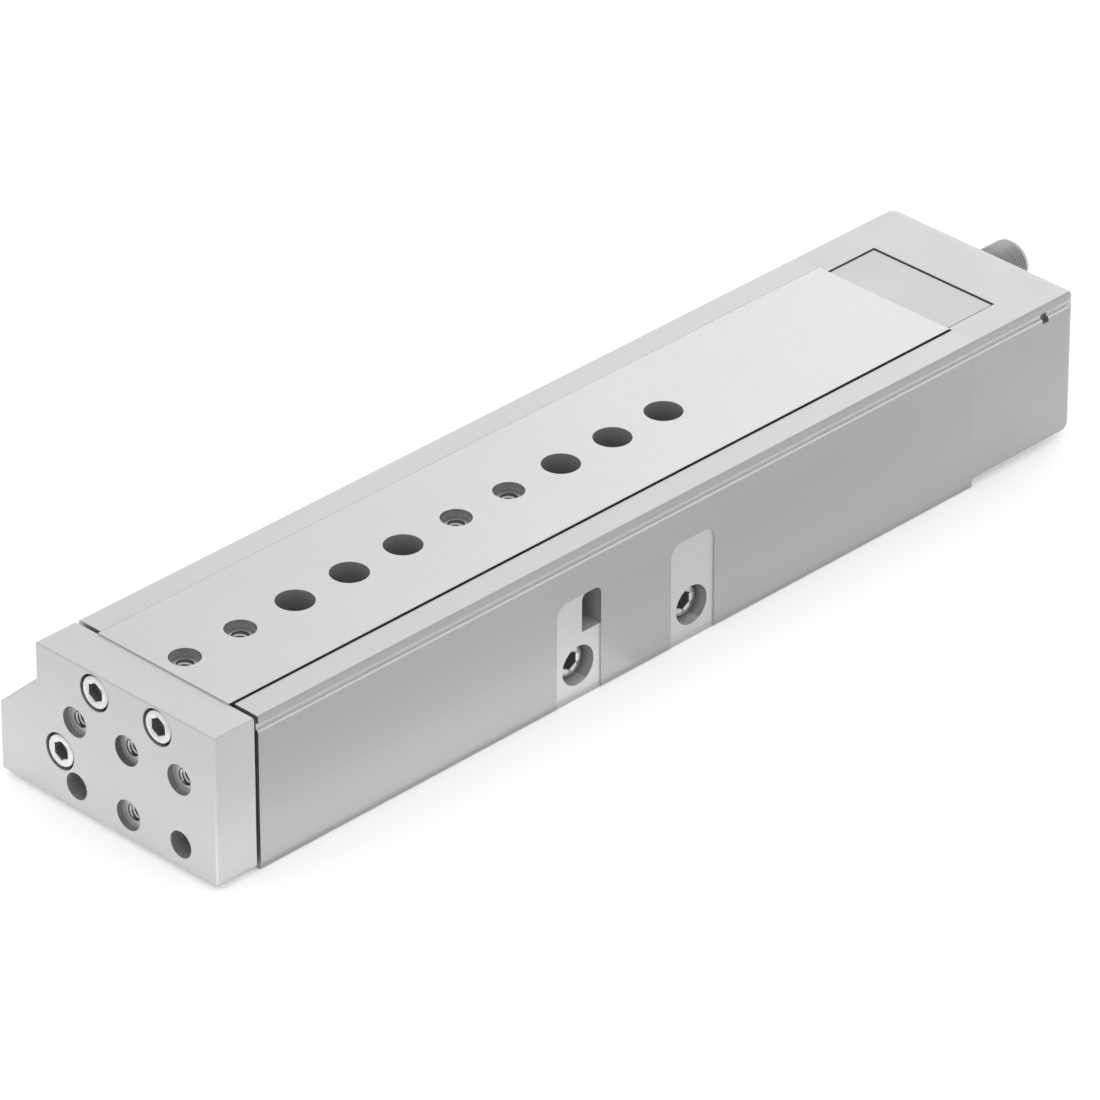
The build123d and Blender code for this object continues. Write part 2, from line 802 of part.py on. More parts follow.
with BuildPart() as rod_seal:
    with BuildSketch(cylinder_plane):
        with BuildLine():
            Polyline(
                (rod_seal_front + fit, rod_diameter / 2 + running),
                (rod_seal_front + fit, rod_diameter / 2 + rod_seal_depth - fit),
                (rod_seal_front + rod_seal_width - fit, rod_diameter / 2 + rod_seal_depth - fit),
                (rod_seal_front + rod_seal_width / 2, rod_diameter / 2 + rod_seal_depth / 2),
                (rod_seal_front + rod_seal_width - fit, rod_diameter / 2 + running),
                close=True,
            )
        make_face()
    revolve(axis=cylinder_axis)

with BuildPart() as rod_wiper:
    with BuildSketch(cylinder_plane):
        with BuildLine():
            Polyline(
                (gland_front - wiper_lip, rod_diameter / 2 + running),
                (gland_front, rod_diameter / 2 + rod_seal_depth - fit),
                (gland_front + wiper_width - fit, rod_diameter / 2 + rod_seal_depth - fit),
                (gland_front + wiper_width - fit, rod_diameter / 2 + running),
                close=True,
            )
        make_face()
    revolve(axis=cylinder_axis)

with BuildPart() as gland_circlip:
    with BuildSketch(across(front_face + circlip_setback)):
        with Locations((bore_x, bore_z)):
            circlip_radius = gland_diameter / 2 + circlip_depth - fit
            Circle(circlip_radius)
            Circle(circlip_radius - circlip_width, mode=Mode.SUBTRACT)
            Rectangle(
                circlip_opening,
                circlip_radius,
                align=(Align.CENTER, Align.MAX),
                mode=Mode.SUBTRACT,
            )
    extrude(amount=-circlip_thickness)

# Hardened rails in the housing's rebates, one for each side
rails = {}
for side, name in ((-1, "left"), (1, "right")):
    with BuildPart() as rail:
        with BuildSketch(across(rail_front)):
            with Locations((side * (rail_inner + rail_outer) / 2, ball_z)):
                Rectangle(rail_width, rail_height)
            add(track_outline(), mode=Mode.SUBTRACT)
        extrude(amount=rail_front - rail_rear)
        for end_y, end_plane in ((rail_front, facing_front), (rail_rear, facing_rear)):
            add(
                end_plane(side * end_screw_x, end_y, end_screw_z)
                * tapped_hole((end_screw_diameter,), end_screw_length),
                mode=Mode.SUBTRACT,
            )
    rails[name] = rail.part

# Ball cages with their balls: at rest they stand to the rear by half the stroke
cages = {}
balls = {}
for side, name in ((-1, "left"), (1, "right")):
    ball_points = [
        (side * ball_x, cage_front + ball_pitch * (index + 0.5), ball_z)
        for index in range(ball_count)
    ]
    with BuildPart() as cage:
        with BuildSketch(Plane.YZ.offset(side * ball_x)):
            with Locations(((cage_front + cage_rear) / 2, ball_z)):
                Rectangle(cage_rear - cage_front, cage_height)
            with Locations(*[(y, z) for x, y, z in ball_points]):
                Circle(track_radius, mode=Mode.SUBTRACT)
        extrude(amount=cage_thickness / 2, both=True)
    cages[name] = cage.part
    with BuildPart() as ball_group:
        with Locations(*ball_points):
            Sphere(ball_diameter / 2)
    balls[name] = ball_group.part

# End stops that keep the cages between the rails' ends
stop_inner = rail_inner - end_stop_reach
stop_width = rail_outer - stop_inner
with BuildPart() as guide_end_stops:
    for end_y in (rail_front - end_stop_thickness, rail_rear):
        with BuildSketch(across(end_y)):
            for side in (-1, 1):
                with Locations((side * (stop_inner + stop_width / 2), ball_z - end_stop_drop / 2)):
                    Rectangle(stop_width, rail_height - end_stop_drop)
                with Locations((side * end_screw_x, end_screw_z)):
                    Circle(end_screw_diameter / 2, mode=Mode.SUBTRACT)
        extrude(amount=-end_stop_thickness)

with BuildPart() as end_stop_screws:
    for side in (-1, 1):
        for end_y, end_plane in (
            (rail_front - end_stop_thickness, facing_front),
            (rail_rear + end_stop_thickness, facing_rear),
        ):
            with Locations(end_plane(side * end_screw_x, end_y, end_screw_z)):
                Cylinder(
                    end_screw_diameter / 2 - fit,
                    end_screw_length,
                    align=(Align.CENTER, Align.CENTER, Align.MAX),
                )

# Carrier of the front shock absorber: an upright on a bar along the right wall
bar_inner = clamp_block_inner - bar_width
bar_height = clamp_block_height - bar_step - floor_thickness
bar_rear = rear_pocket + bar_tail
carrier_left = front_absorber_x - carrier_width / 2
carrier_right = front_absorber_x + carrier_width / 2
with BuildPart() as stop_carrier:
    with BuildSketch(across(carrier_front)):
        with BuildLine():
            Polyline(
                (carrier_left, floor_thickness),
                (clamp_block_inner, floor_thickness),
                (clamp_block_inner, clamp_block_height + carrier_play),
                (carrier_right, clamp_block_height + carrier_play),
                (carrier_right, carrier_top),
                (carrier_left, carrier_top),
                close=True,
            )
        make_face()
    extrude(amount=-carrier_length)
    with BuildSketch(across(carrier_front)):
        with Locations(((bar_inner + clamp_block_inner) / 2, floor_thickness)):
            Rectangle(bar_width, bar_height, align=(Align.CENTER, Align.MIN))
    extrude(amount=carrier_front - bar_rear)
    with Locations(facing_front(front_absorber_x, carrier_front, front_absorber_z)):
        Hole(absorber_diameter / 2, carrier_length)
    for y in (front_pocket, rear_pocket):
        with Locations(facing_right(y, clamp_screw_z)):
            Hole(clamp_screw[0] / 2, clamp_block_width + bar_width)

with BuildPart() as clamp_screws:
    for y in (front_pocket, rear_pocket):
        head_depth = clamp_bore_depth - clamp_screw[2] - head_recess
        add(facing_right(y, clamp_screw_z).offset(-head_depth) * socket_screw(clamp_screw))


# Shock absorbers: both have one design, made with the tip at the origin and +Z outwards
def absorber_barrel():
    """Threaded barrel with a blind bore for the plunger and a slot to turn it."""
    with BuildPart() as barrel:
        with BuildSketch(Plane.XY.offset(-barrel_setback)):
            Circle(absorber_diameter / 2 - fit)
        extrude(amount=-absorber_length)
        chamfer(barrel.edges(), absorber_chamfer)
        with Locations((0, 0, -barrel_setback)):
            Hole(plunger_diameter / 2 + running, plunger_guide + absorber_stroke + piston_gap)
        with BuildSketch(Plane.XY.offset(-barrel_setback - absorber_length)):
            Rectangle(absorber_diameter, adjuster_width)
        extrude(amount=adjuster_depth, mode=Mode.SUBTRACT)
    return barrel.part


def absorber_plunger():
    """Plunger rod, from inside the bumper to its guided end in the barrel."""
    with BuildPart() as plunger:
        with BuildSketch(Plane.XY.offset(-bumper_length / 2)):
            Circle(plunger_diameter / 2)
        extrude(amount=bumper_length / 2 - barrel_setback - plunger_guide)
    return plunger.part


def absorber_bumper():
    """Plastic buffer cap on the plunger."""
    with BuildPart() as bumper:
        with BuildSketch():
            Circle(bumper_diameter / 2)
        extrude(amount=-bumper_length)
        chamfer(bumper.edges().group_by(Axis.Z)[-1], bumper_chamfer)
        with Locations((0, 0, -bumper_length)):
            Cylinder(
                plunger_diameter / 2 + fit,
                bumper_length / 2,
                align=(Align.CENTER, Align.CENTER, Align.MIN),
                mode=Mode.SUBTRACT,
            )
    return bumper.part


absorber_planes = {
    "front": facing_rear(front_absorber_x, front_tip, front_absorber_z),
    "rear": facing_front(rear_absorber_x, rear_tip, rear_absorber_z),
}
lock_nut_planes = {
    "front": facing_rear(front_absorber_x, carrier_front, front_absorber_z),
    "rear": facing_rear(rear_absorber_x, cap_rear, rear_absorber_z),
}

pieces = {
    "housing": housing.part,
    "rear_cap": rear_cap.part,
    "cap_screws": cap_screws.part,
    "slide": slide.part,
    "stop_plate": stop_plate.part,
    "stop_plate_screws": stop_plate_screws.part,
    "yoke": yoke.part,
    "yoke_screws": yoke_screws.part,
    "rod_screw": rod_screw.part,
    "piston_rod": piston_rod.part,
    "piston_front_half": piston_front_half.part,
    "piston_rear_half": piston_rear_half.part,
    "piston_magnet": piston_magnet.part,
    "piston_seals": piston_seals.part,
    "piston_nut": piston_nut.part,
    "gland": gland.part,
    "gland_o_ring": gland_o_ring.part,
    "gland_circlip": gland_circlip.part,
    "rod_seal": rod_seal.part,
    "rod_wiper": rod_wiper.part,
    "guide_end_stops": guide_end_stops.part,
    "end_stop_screws": end_stop_screws.part,
    "stop_carrier": stop_carrier.part,
    "clamp_screws": clamp_screws.part,
}
for name in ("left", "right"):
    pieces[f"{name}_rail"] = rails[name]
    pieces[f"{name}_cage"] = cages[name]
    pieces[f"{name}_balls"] = balls[name]
for name, plane in absorber_planes.items():
    pieces[f"{name}_absorber_barrel"] = plane * absorber_barrel()
    pieces[f"{name}_absorber_plunger"] = plane * absorber_plunger()
    pieces[f"{name}_absorber_bumper"] = plane * absorber_bumper()
    pieces[f"{name}_absorber_nut"] = lock_nut_planes[name] * hex_nut(
        lock_nut_width, lock_nut_height, absorber_diameter
    )

os.makedirs("parts", exist_ok=True)
for name, piece in pieces.items():
    piece.label = name
    export_step(piece, f"parts/{name}.step")
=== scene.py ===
import json
import math

import bmesh
import bpy
from bpy.props import FloatProperty, FloatVectorProperty, IntProperty, PointerProperty
from mathutils import Matrix, Vector


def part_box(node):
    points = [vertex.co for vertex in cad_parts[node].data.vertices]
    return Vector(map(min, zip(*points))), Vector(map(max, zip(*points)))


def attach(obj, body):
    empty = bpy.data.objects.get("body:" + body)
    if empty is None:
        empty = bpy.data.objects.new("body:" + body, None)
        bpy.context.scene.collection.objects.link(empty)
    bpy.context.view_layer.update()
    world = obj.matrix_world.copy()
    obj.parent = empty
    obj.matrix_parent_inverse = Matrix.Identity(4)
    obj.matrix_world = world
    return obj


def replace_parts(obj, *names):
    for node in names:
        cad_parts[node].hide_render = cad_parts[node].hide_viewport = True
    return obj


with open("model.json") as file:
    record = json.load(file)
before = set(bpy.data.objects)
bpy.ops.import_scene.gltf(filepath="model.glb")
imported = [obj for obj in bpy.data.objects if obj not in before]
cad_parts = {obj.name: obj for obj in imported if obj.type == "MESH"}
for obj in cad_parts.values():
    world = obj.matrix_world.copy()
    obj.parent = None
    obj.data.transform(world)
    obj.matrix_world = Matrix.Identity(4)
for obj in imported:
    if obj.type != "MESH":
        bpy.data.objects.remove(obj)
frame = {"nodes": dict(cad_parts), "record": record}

bl_info = {
    "name": "Slide table dressing",
    "version": (1, 0, 0),
    "blender": (4, 5, 0),
    "location": "3D View > Sidebar > Slide table",
    "description": "Gives a packed pneumatic slide table its finishes, fine parts and studio",
    "category": "Object",
}

MM = 0.001
TRAVEL = Vector((0, 1, 0))
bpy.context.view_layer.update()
MOUNTS = {mount["name"]: mount for mount in frame["record"]["mounts"]}

# Groove under the right top lip: how far below the top it starts, how wide it is, and how far inside
# the right side its floor and its chamfer lie, which are lightened with painted light
GROOVE_DROP = 2.4 * MM
GROOVE_WIDTH = 2.7 * MM
GROOVE_FLOOR = (0.8 * MM, 1.2 * MM)
GROOVE_CHAMFER = (0.01 * MM, 0.49 * MM)
# Floors of the side pockets, and the walls behind them that the window and screw recesses show, inside
# the right side; painted shade darkens those walls a little
POCKET_FLOOR = (0.25 * MM, 0.55 * MM)
OPENING_WALLS = (0.6 * MM, 12 * MM)
# Reach of a load hole to either side of its middle
HOLE_REACH = 5 * MM
# Radii at the roots and crests of the thread turns inside the M6 holes and the air ports
M6_TURNS = (2.55 * MM, 2.1 * MM)
PORT_TURNS = (4.35 * MM, 3.85 * MM)
# Nominal size, head, head height and socket of the screws
M6_SCREW = (6 * MM, 10 * MM, 6 * MM, 5 * MM)
M4_SCREW = (4 * MM, 7 * MM, 4 * MM, 3 * MM)
# Softboxes above and strips on the floor, which only gloss shows
OVERHEAD_PLACE = (-1.0, 2.1, 1.15)
FRONT_PLACE = (-0.5, -1.6, 0.9)
STRIP_HEIGHT = 1 * MM
SIDE_STRIP_X = 0.0475
SIDE_STRIP_SIZE = (0.024, 0.22)
SIDE_STRIPS = {"side_strip_front": (-0.085, 0.62), "side_strip_rear": (0.135, 0.26)}  # middle, share
PLATE_STRIP = (-0.035, -0.1545)
PLATE_STRIP_SIZE = (0.17, 0.043)


# Sizes and colours that a user would change


class StageValues(bpy.types.PropertyGroup):
    """Camera, lights and floor of the studio."""

    view_azimuth: FloatProperty(
        name="View azimuth", description="Camera's turn to the right of the front plate",
        default=math.radians(44.69), subtype="ANGLE", unit="ROTATION")
    view_elevation: FloatProperty(
        name="View elevation", description="Camera's height angle above the floor",
        default=math.radians(31.07), subtype="ANGLE", unit="ROTATION")
    view_distance: FloatProperty(
        name="View distance", description="From the camera to the point that it looks at",
        default=2.418, unit="LENGTH")
    aim: FloatVectorProperty(
        name="Aim", description="Point in the middle of the picture",
        default=(0.00027, 0.02554, 0.02253), subtype="TRANSLATION")
    lens: FloatProperty(name="Lens", description="Focal length in millimetres", default=290.6)
    floor_size: FloatProperty(
        name="Floor size", description="Side of the square floor", default=12.0, unit="LENGTH")
    floor_colour: FloatVectorProperty(
        name="Floor colour", description="Pale floor", default=(0.9, 0.9, 0.9), subtype="COLOR")
    floor_glow: FloatProperty(
        name="Floor glow", description="Light from under the translucent floor", default=0.2)
    sky_strength: FloatProperty(
        name="Sky strength", description="Even light from all around", default=1.15)
    overhead_power: FloatProperty(
        name="Overhead power", description="Watts of the softbox above and behind", default=4.0)
    front_power: FloatProperty(
        name="Front power", description="Watts of the softbox before the front plate", default=0.5)
    strip_power: FloatProperty(
        name="Strip power", description="Watts of the strips along the right side", default=0.017)
    plate_power: FloatProperty(
        name="Plate power", description="Watts of the strip before the front plate", default=0.012)


class FinishValues(bpy.types.PropertyGroup):
    """Colours of the finishes."""

    body_colour: FloatVectorProperty(
        name="Body", description="Anodised extrusion", default=(0.34, 0.342, 0.345), subtype="COLOR")
    cap_colour: FloatVectorProperty(
        name="Rear cap", description="Machined end block", default=(0.35, 0.352, 0.354), subtype="COLOR")
    pocket_colour: FloatVectorProperty(
        name="Pockets", description="Milled floors of the side pockets",
        default=(0.46, 0.46, 0.464), subtype="COLOR")
    # Painted top light: a lighter colour on the faces that look up on the body and the rear cap, standing in
    # for light falling on them
    painted_top_light_colour: FloatVectorProperty(
        name="Painted top light", description="Faces of the body milled along the travel",
        default=(0.52, 0.522, 0.525), subtype="COLOR")
    slide_colour: FloatVectorProperty(
        name="Slide", description="Ground steel", default=(0.52, 0.52, 0.52), subtype="COLOR")
    stop_plate_colour: FloatVectorProperty(
        name="Stop plate", description="Matte end of the slide", default=(0.52, 0.52, 0.52), subtype="COLOR")
    plate_colour: FloatVectorProperty(
        name="Front plate", description="Blasted and anodised aluminium",
        default=(0.447, 0.447, 0.45), subtype="COLOR")
    screw_colour: FloatVectorProperty(
        name="Screws", description="Plated steel", default=(0.52, 0.52, 0.52), subtype="COLOR")
    steel_colour: FloatVectorProperty(
        name="Hard steel", description="Rails and circlip", default=(0.36, 0.365, 0.38), subtype="COLOR")
    brass_colour: FloatVectorProperty(
        name="Cages", description="Brass of the ball cages", default=(0.60, 0.42, 0.16), subtype="COLOR")
    rubber_colour: FloatVectorProperty(
        name="Seals", description="Rubber", default=(0.012, 0.012, 0.013), subtype="COLOR")


class DetailValues(bpy.types.PropertyGroup):
    """Sizes of the fine parts."""

    m6_pitch: FloatProperty(
        name="M6 pitch", description="Pitch of the M6 threads", default=1.0 * MM, unit="LENGTH")
    m4_pitch: FloatProperty(
        name="M4 pitch", description="Pitch of the M4 threads", default=0.7 * MM, unit="LENGTH")
    m2_pitch: FloatProperty(
        name="M2 pitch", description="Pitch of the end stops' threads", default=0.4 * MM, unit="LENGTH")
    port_pitch: FloatProperty(
        name="Port pitch", description="Pitch of the air ports' threads", default=0.907 * MM, unit="LENGTH")
    barrel_pitch: FloatProperty(
        name="Barrel pitch", description="Pitch of the shock absorbers' threads",
        default=1.0 * MM, unit="LENGTH")
    knurls: IntProperty(name="Knurls", description="Flutes round a screw head", default=36)
    segments: IntProperty(name="Segments", description="Sides of a turned surface", default=72)


def stage_values():
    return bpy.context.scene.slide_table_stage


def finish_values():
    return bpy.context.scene.slide_table_finish


def detail_values():
    return bpy.context.scene.slide_table_detail


# Materials: each is one Principled shader with the patterns that its surface shows


def finish_name(slot):
    """Name of the finish of a slot, apart from the plain material that the frame brings."""
    return f"{slot}_finish"


class Finish:
    """A material under construction: one Principled shader and the nodes that feed it."""

    def __init__(self, slot, colour, metallic, roughness):
        self.material = bpy.data.materials.new(finish_name(slot))
        self.material.use_nodes = True
        self.tree = self.material.node_tree
        self.shader = self.tree.nodes["Principled BSDF"]
        self.shader.inputs["Metallic"].default_value = metallic
        self.colour = (*colour, 1.0)
        self.shader.inputs["Base Color"].default_value = self.colour
        self.shader.inputs["Roughness"].default_value = roughness
        self.roughness = roughness
        self.place = self.tree.nodes.new("ShaderNodeTexCoord").outputs["Object"]

    def round_edges(self, radius, edge_highlight):
        """Rounds the edges to the eye and lightens them with a painted highlight of that strength."""
        bevel = self.add("ShaderNodeBevel", Radius=radius)
        bevel.samples = 5
        self.tree.links.new(bevel.outputs[0], self.shader.inputs["Normal"])
        flat = self.add("ShaderNodeNewGeometry").outputs["Normal"]
        turn = self.tree.nodes.new("ShaderNodeVectorMath")
        turn.operation = "DOT_PRODUCT"
        self.tree.links.new(bevel.outputs[0], turn.inputs[0])
        self.tree.links.new(flat, turn.inputs[1])
        self.scale_colour(self.spread(turn.outputs["Value"], 1.0 + edge_highlight, 1.0, 0.88, 0.99))

    def add(self, kind, **inputs):
        """A node of that kind with its inputs set or linked."""
        node = self.tree.nodes.new(kind)
        for name, value in inputs.items():
            socket = node.inputs[name.replace("_", " ")]
            if isinstance(value, bpy.types.NodeSocket):
                self.tree.links.new(value, socket)
            else:
                socket.default_value = value
        return node

    def maths(self, operation, first, second=0.0):
        """A number worked out from two others."""
        node = self.tree.nodes.new("ShaderNodeMath")
        node.operation = operation
        for socket, value in zip(node.inputs, (first, second)):
            if isinstance(value, bpy.types.NodeSocket):
                self.tree.links.new(value, socket)
            else:
                socket.default_value = value
        return node.outputs[0]

    def noise(self, pitch, stretch=(1, 1, 1), detail=3.0):
        """Noise with features about a pitch apart in metres, drawn out along an axis by a small stretch."""
        scaled = self.add("ShaderNodeMapping", Vector=self.place, Scale=[s / pitch for s in stretch])
        return self.add("ShaderNodeTexNoise", Vector=scaled.outputs[0], Scale=1.0, Detail=detail).outputs[0]

    def spread(self, value, low, high, start=0.3, end=0.7):
        """The value carried over to the range from low to high."""
        return self.add(
            "ShaderNodeMapRange", Value=value, From_Min=start, From_Max=end, To_Min=low, To_Max=high
        ).outputs[0]

    def tone(self, value, amount):
        """Lightens and darkens the colour by that amount as the value goes from 0 to 1."""
        self.scale_colour(self.spread(value, 1.0 - amount, 1.0 + amount))

    def shade(self, mask, factor):
        """Multiplies the colour by the factor where the mask is 1."""
        self.scale_colour(self.spread(mask, 1.0, factor, 0.0, 1.0))

    def scale_colour(self, factor):
        """Multiplies the colour by a factor."""
        node = self.tree.nodes.new("ShaderNodeVectorMath")
        node.operation = "SCALE"
        source = self.shader.inputs["Base Color"]
        if source.is_linked:
            self.tree.links.new(source.links[0].from_socket, node.inputs[0])
        else:
            node.inputs[0].default_value = self.colour[:3]
        self.tree.links.new(factor, node.inputs["Scale"])
        self.tree.links.new(node.outputs[0], source)

    def blend(self, mask, colour):
        """Another colour where the mask is 1."""
        node = self.tree.nodes.new("ShaderNodeMix")
        node.data_type = "RGBA"
        source = self.shader.inputs["Base Color"]
        if source.is_linked:
            self.tree.links.new(source.links[0].from_socket, node.inputs["A"])
        else:
            node.inputs["A"].default_value = self.colour
        node.inputs["B"].default_value = (*colour, 1.0)
        self.tree.links.new(mask, node.inputs["Factor"])
        self.tree.links.new(node.outputs["Result"], source)

    def sheen(self, value, amount):
        """Varies the roughness by that amount as the value goes from 0 to 1."""
        rough = self.spread(value, self.roughness - amount, self.roughness + amount)
        self.tree.links.new(rough, self.shader.inputs["Roughness"])

    def relief(self, value, depth):
        """Raises the surface by the depth in metres where the value is 1."""
        before = self.shader.inputs["Normal"]
        bump = self.add("ShaderNodeBump", Height=value, Distance=depth, Strength=1.0)
        if before.is_linked:
            self.tree.links.new(before.links[0].from_socket, bump.inputs["Normal"])
        self.tree.links.new(bump.outputs[0], before)

    def axis(self, source, name):
        """One coordinate of a vector."""
        return self.add("ShaderNodeSeparateXYZ", Vector=source).outputs[name]

    def facing(self, name, least=0.9):
        """1 on the faces that look along that axis, either way."""
        normal = self.add("ShaderNodeNewGeometry").outputs["True Normal"]
        return self.maths("GREATER_THAN", self.maths("ABSOLUTE", self.axis(normal, name)), least)

    def slanting(self):
        """1 on the faces that look neither along X nor along Z."""
        flat = self.maths("ADD", self.facing("X"), self.facing("Z"))
        return self.maths("LESS_THAN", flat, 0.5)

    def within(self, name, low, high):
        """1 where that coordinate lies between two values."""
        inside = self.maths("COMPARE", self.axis(self.place, name), (low + high) / 2)
        inside.node.inputs[2].default_value = (high - low) / 2
        return inside

    def walls(self, name, ranges, factor):
        """Paints shade: multiplies the colour on the walls of the holes along that axis, inside a range of
        each coordinate given, and returns where they are."""
        mask = self.maths("SUBTRACT", 1.0, self.facing(name))
        for across, (low, high) in ranges.items():
            mask = self.maths("MULTIPLY", mask, self.within(across, low, high))
        self.shade(mask, factor)
        return mask

    def dull(self, mask, metallic):
        """Makes the surface less metallic where the mask is 1."""
        before = self.shader.inputs["Metallic"]
        self.tree.links.new(self.spread(mask, before.default_value, metallic, 0.0, 1.0), before)


def blasted_grain(finish, amount=0.05):
    """Fine even grain of a blasted and anodised surface, with faint clouds."""
    grain = finish.noise(0.35 * MM, detail=4.0)
    clouds = finish.noise(22 * MM)
    finish.tone(clouds, amount * 0.5)
    finish.tone(grain, amount)
    finish.sheen(grain, 0.05)
    finish.relief(grain, 0.012 * MM)


def drawn_lines(finish, amount=0.04):
    """Lines that the extrusion die leaves along the travel."""
    lines = finish.noise(0.5 * MM, stretch=(1, 0.004, 1), detail=5.0)
    grain = finish.noise(0.4 * MM, detail=3.0)
    clouds = finish.noise(30 * MM, stretch=(1, 0.2, 1))
    finish.tone(clouds, amount * 0.5)
    finish.tone(lines, amount)
    finish.sheen(lines, 0.06)
    finish.relief(lines, 0.010 * MM)
    finish.relief(grain, 0.006 * MM)


def ground_lines(finish, amount=0.012):
    """Short overlapping scratches of surface grinding along the travel."""
    coarse = finish.noise(0.6 * MM, stretch=(1, 0.02, 1), detail=6.0)
    fine = finish.noise(0.18 * MM, stretch=(1, 0.03, 1), detail=4.0)
    clouds = finish.noise(40 * MM)
    finish.tone(clouds, amount)
    finish.tone(coarse, amount)
    finish.sheen(fine, 0.05)
    finish.relief(fine, 0.002 * MM)


def turned_rings(finish, pitch=0.25 * MM, amount=0.05):
    """Tool marks of turning round an axis along the travel."""
    rings = finish.noise(pitch, stretch=(0.03, 1, 0.03), detail=4.0)
    finish.tone(rings, amount)
    finish.sheen(rings, 0.06)
    finish.relief(rings, 0.008 * MM)


def plated_clouds(finish, amount=0.08):
    """Faint clouds and tiny specks of a plated surface."""
    clouds = finish.noise(2.5 * MM)
    specks = finish.noise(0.25 * MM, detail=2.0)
    finish.tone(clouds, amount)
    finish.sheen(specks, 0.08)
    finish.relief(specks, 0.006 * MM)


def moulded_skin(finish, amount=0.08):
    """Fine bumps and worn clouds of rubber and plastic."""
    skin = finish.noise(0.3 * MM, detail=4.0)
    clouds = finish.noise(3 * MM)
    finish.tone(clouds, amount)
    finish.sheen(skin, 0.1)
    finish.relief(skin, 0.02 * MM)


def groove_painted_light(finish, right):
    """Painted light: lightens the bottom and the chamfer of the groove under the right top lip, as if lit
    bright.
    """
    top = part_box("housing")[1].z - GROOVE_DROP
    groove = finish.within("Z", top - GROOVE_WIDTH, top)
    near, far = GROOVE_FLOOR
    inside = finish.maths("MULTIPLY", groove, finish.within("X", right - far, right - near))
    finish.shade(inside, 1.5)
    near, far = GROOVE_CHAMFER
    chamfer = finish.maths("MULTIPLY", groove, finish.within("X", right - far, right - near))
    finish.shade(finish.maths("MULTIPLY", chamfer, finish.slanting()), 1.6)


def body_finish():
    """Anodised extrusion with lighter milled pockets in its right side."""
    values = finish_values()
    finish = Finish("anodised_body", values.body_colour, metallic=0.85, roughness=0.42)
    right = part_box("housing")[1].x
    near, far = POCKET_FLOOR
    floor = finish.within("X", right - far, right - near)
    finish.blend(finish.maths("MULTIPLY", floor, finish.facing("X")), values.pocket_colour)
    # Painted top light: faces that look up get a lighter colour
    finish.blend(finish.facing("Z"), values.painted_top_light_colour)
    groove_painted_light(finish, right)
    # Painted shade: the walls behind the window and the screw recesses get a slightly darker colour
    near, far = OPENING_WALLS
    low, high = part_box("clamp_screws")
    openings = {
        "X": (right - far, right - near), "Y": (low.y - 2 * MM, high.y + 2 * MM),
        "Z": (low.z - 2 * MM, high.z + 15 * MM)}
    finish.dull(finish.walls("X", openings, factor=0.95), metallic=0.3)
    finish.round_edges(radius=0.25 * MM, edge_highlight=0.25)
    drawn_lines(finish)
    return finish.material


def cap_finish():
    """Machined and anodised end block."""
    finish = Finish("cast_cap", finish_values().cap_colour, metallic=0.85, roughness=0.45)
    # Painted top light: faces that look up get a lighter colour
    finish.blend(finish.facing("Z"), finish_values().painted_top_light_colour)
    groove_painted_light(finish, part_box("rear_cap")[1].x)
    finish.round_edges(radius=0.25 * MM, edge_highlight=0.2)
    blasted_grain(finish, 0.04)
    return finish.material


def slide_finish():
    """Ground hardened steel."""
    finish = Finish("ground_steel", finish_values().slide_colour, metallic=1.0, roughness=0.30)
    low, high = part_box("slide")
    row = {"X": (-6 * MM, 6 * MM), "Y": (low.y + 1 * MM, high.y - 1 * MM)}
    # Painted shade: the walls of the middle row of holes are darkened to half, those of the centring holes
    # to 0.8
    finish.dull(finish.walls("Z", row, factor=0.5), metallic=0.3)
    for name in ("table_centring_front", "table_centring_rear"):
        finish.walls("Z", hole_ranges(name, "XY"), factor=0.8)
    finish.round_edges(radius=0.2 * MM, edge_highlight=0.1)
    ground_lines(finish)
    return finish.material


def stop_plate_finish():
    """Matte machined steel."""
    finish = Finish("matte_steel", finish_values().stop_plate_colour, metallic=0.9, roughness=0.5)
    finish.round_edges(radius=0.2 * MM, edge_highlight=0.1)
    blasted_grain(finish, 0.04)
    return finish.material


def plate_finish():
    """Blasted and anodised front plate."""
    finish = Finish("anodised_plate", finish_values().plate_colour, metallic=0.8, roughness=0.48)
    # Painted shade: the walls of the centring holes get a darker colour
    for name in ("yoke_centring_outer", "yoke_centring_middle"):
        finish.walls("Y", hole_ranges(name, "XZ"), factor=0.62)
    # Painted top light: faces that look up are lightened
    finish.shade(finish.facing("Z"), 1.2)
    finish.round_edges(radius=0.25 * MM, edge_highlight=0.2)
    blasted_grain(finish, 0.04)
    return finish.material


def screw_finish():
    """Plated steel of screws and nuts."""
    finish = Finish("screw_steel", finish_values().screw_colour, metallic=1.0, roughness=0.33)
    finish.round_edges(radius=0.1 * MM, edge_highlight=0.2)
    plated_clouds(finish)
    return finish.material


def hard_steel_finish():
    """Ground and hardened rails."""
    finish = Finish("hardened_steel", finish_values().steel_colour, metallic=1.0, roughness=0.28)
    ground_lines(finish, 0.06)
    return finish.material


def chrome_finish():
    """Chromed and polished rods."""
    finish = Finish("chromed_rod", (0.78, 0.79, 0.81), metallic=1.0, roughness=0.12)
    scratches = finish.noise(0.4 * MM, stretch=(0.3, 1, 0.3), detail=4.0)
    finish.tone(finish.noise(9 * MM), 0.03)
    finish.sheen(scratches, 0.05)
    finish.relief(scratches, 0.001 * MM)
    return finish.material


def ball_finish():
    """Polished bearing balls."""
    finish = Finish("ball_steel", (0.72, 0.73, 0.75), metallic=1.0, roughness=0.1)
    scratches = finish.noise(0.2 * MM, detail=3.0)
    finish.tone(finish.noise(1.5 * MM), 0.05)
    finish.sheen(scratches, 0.05)
    return finish.material


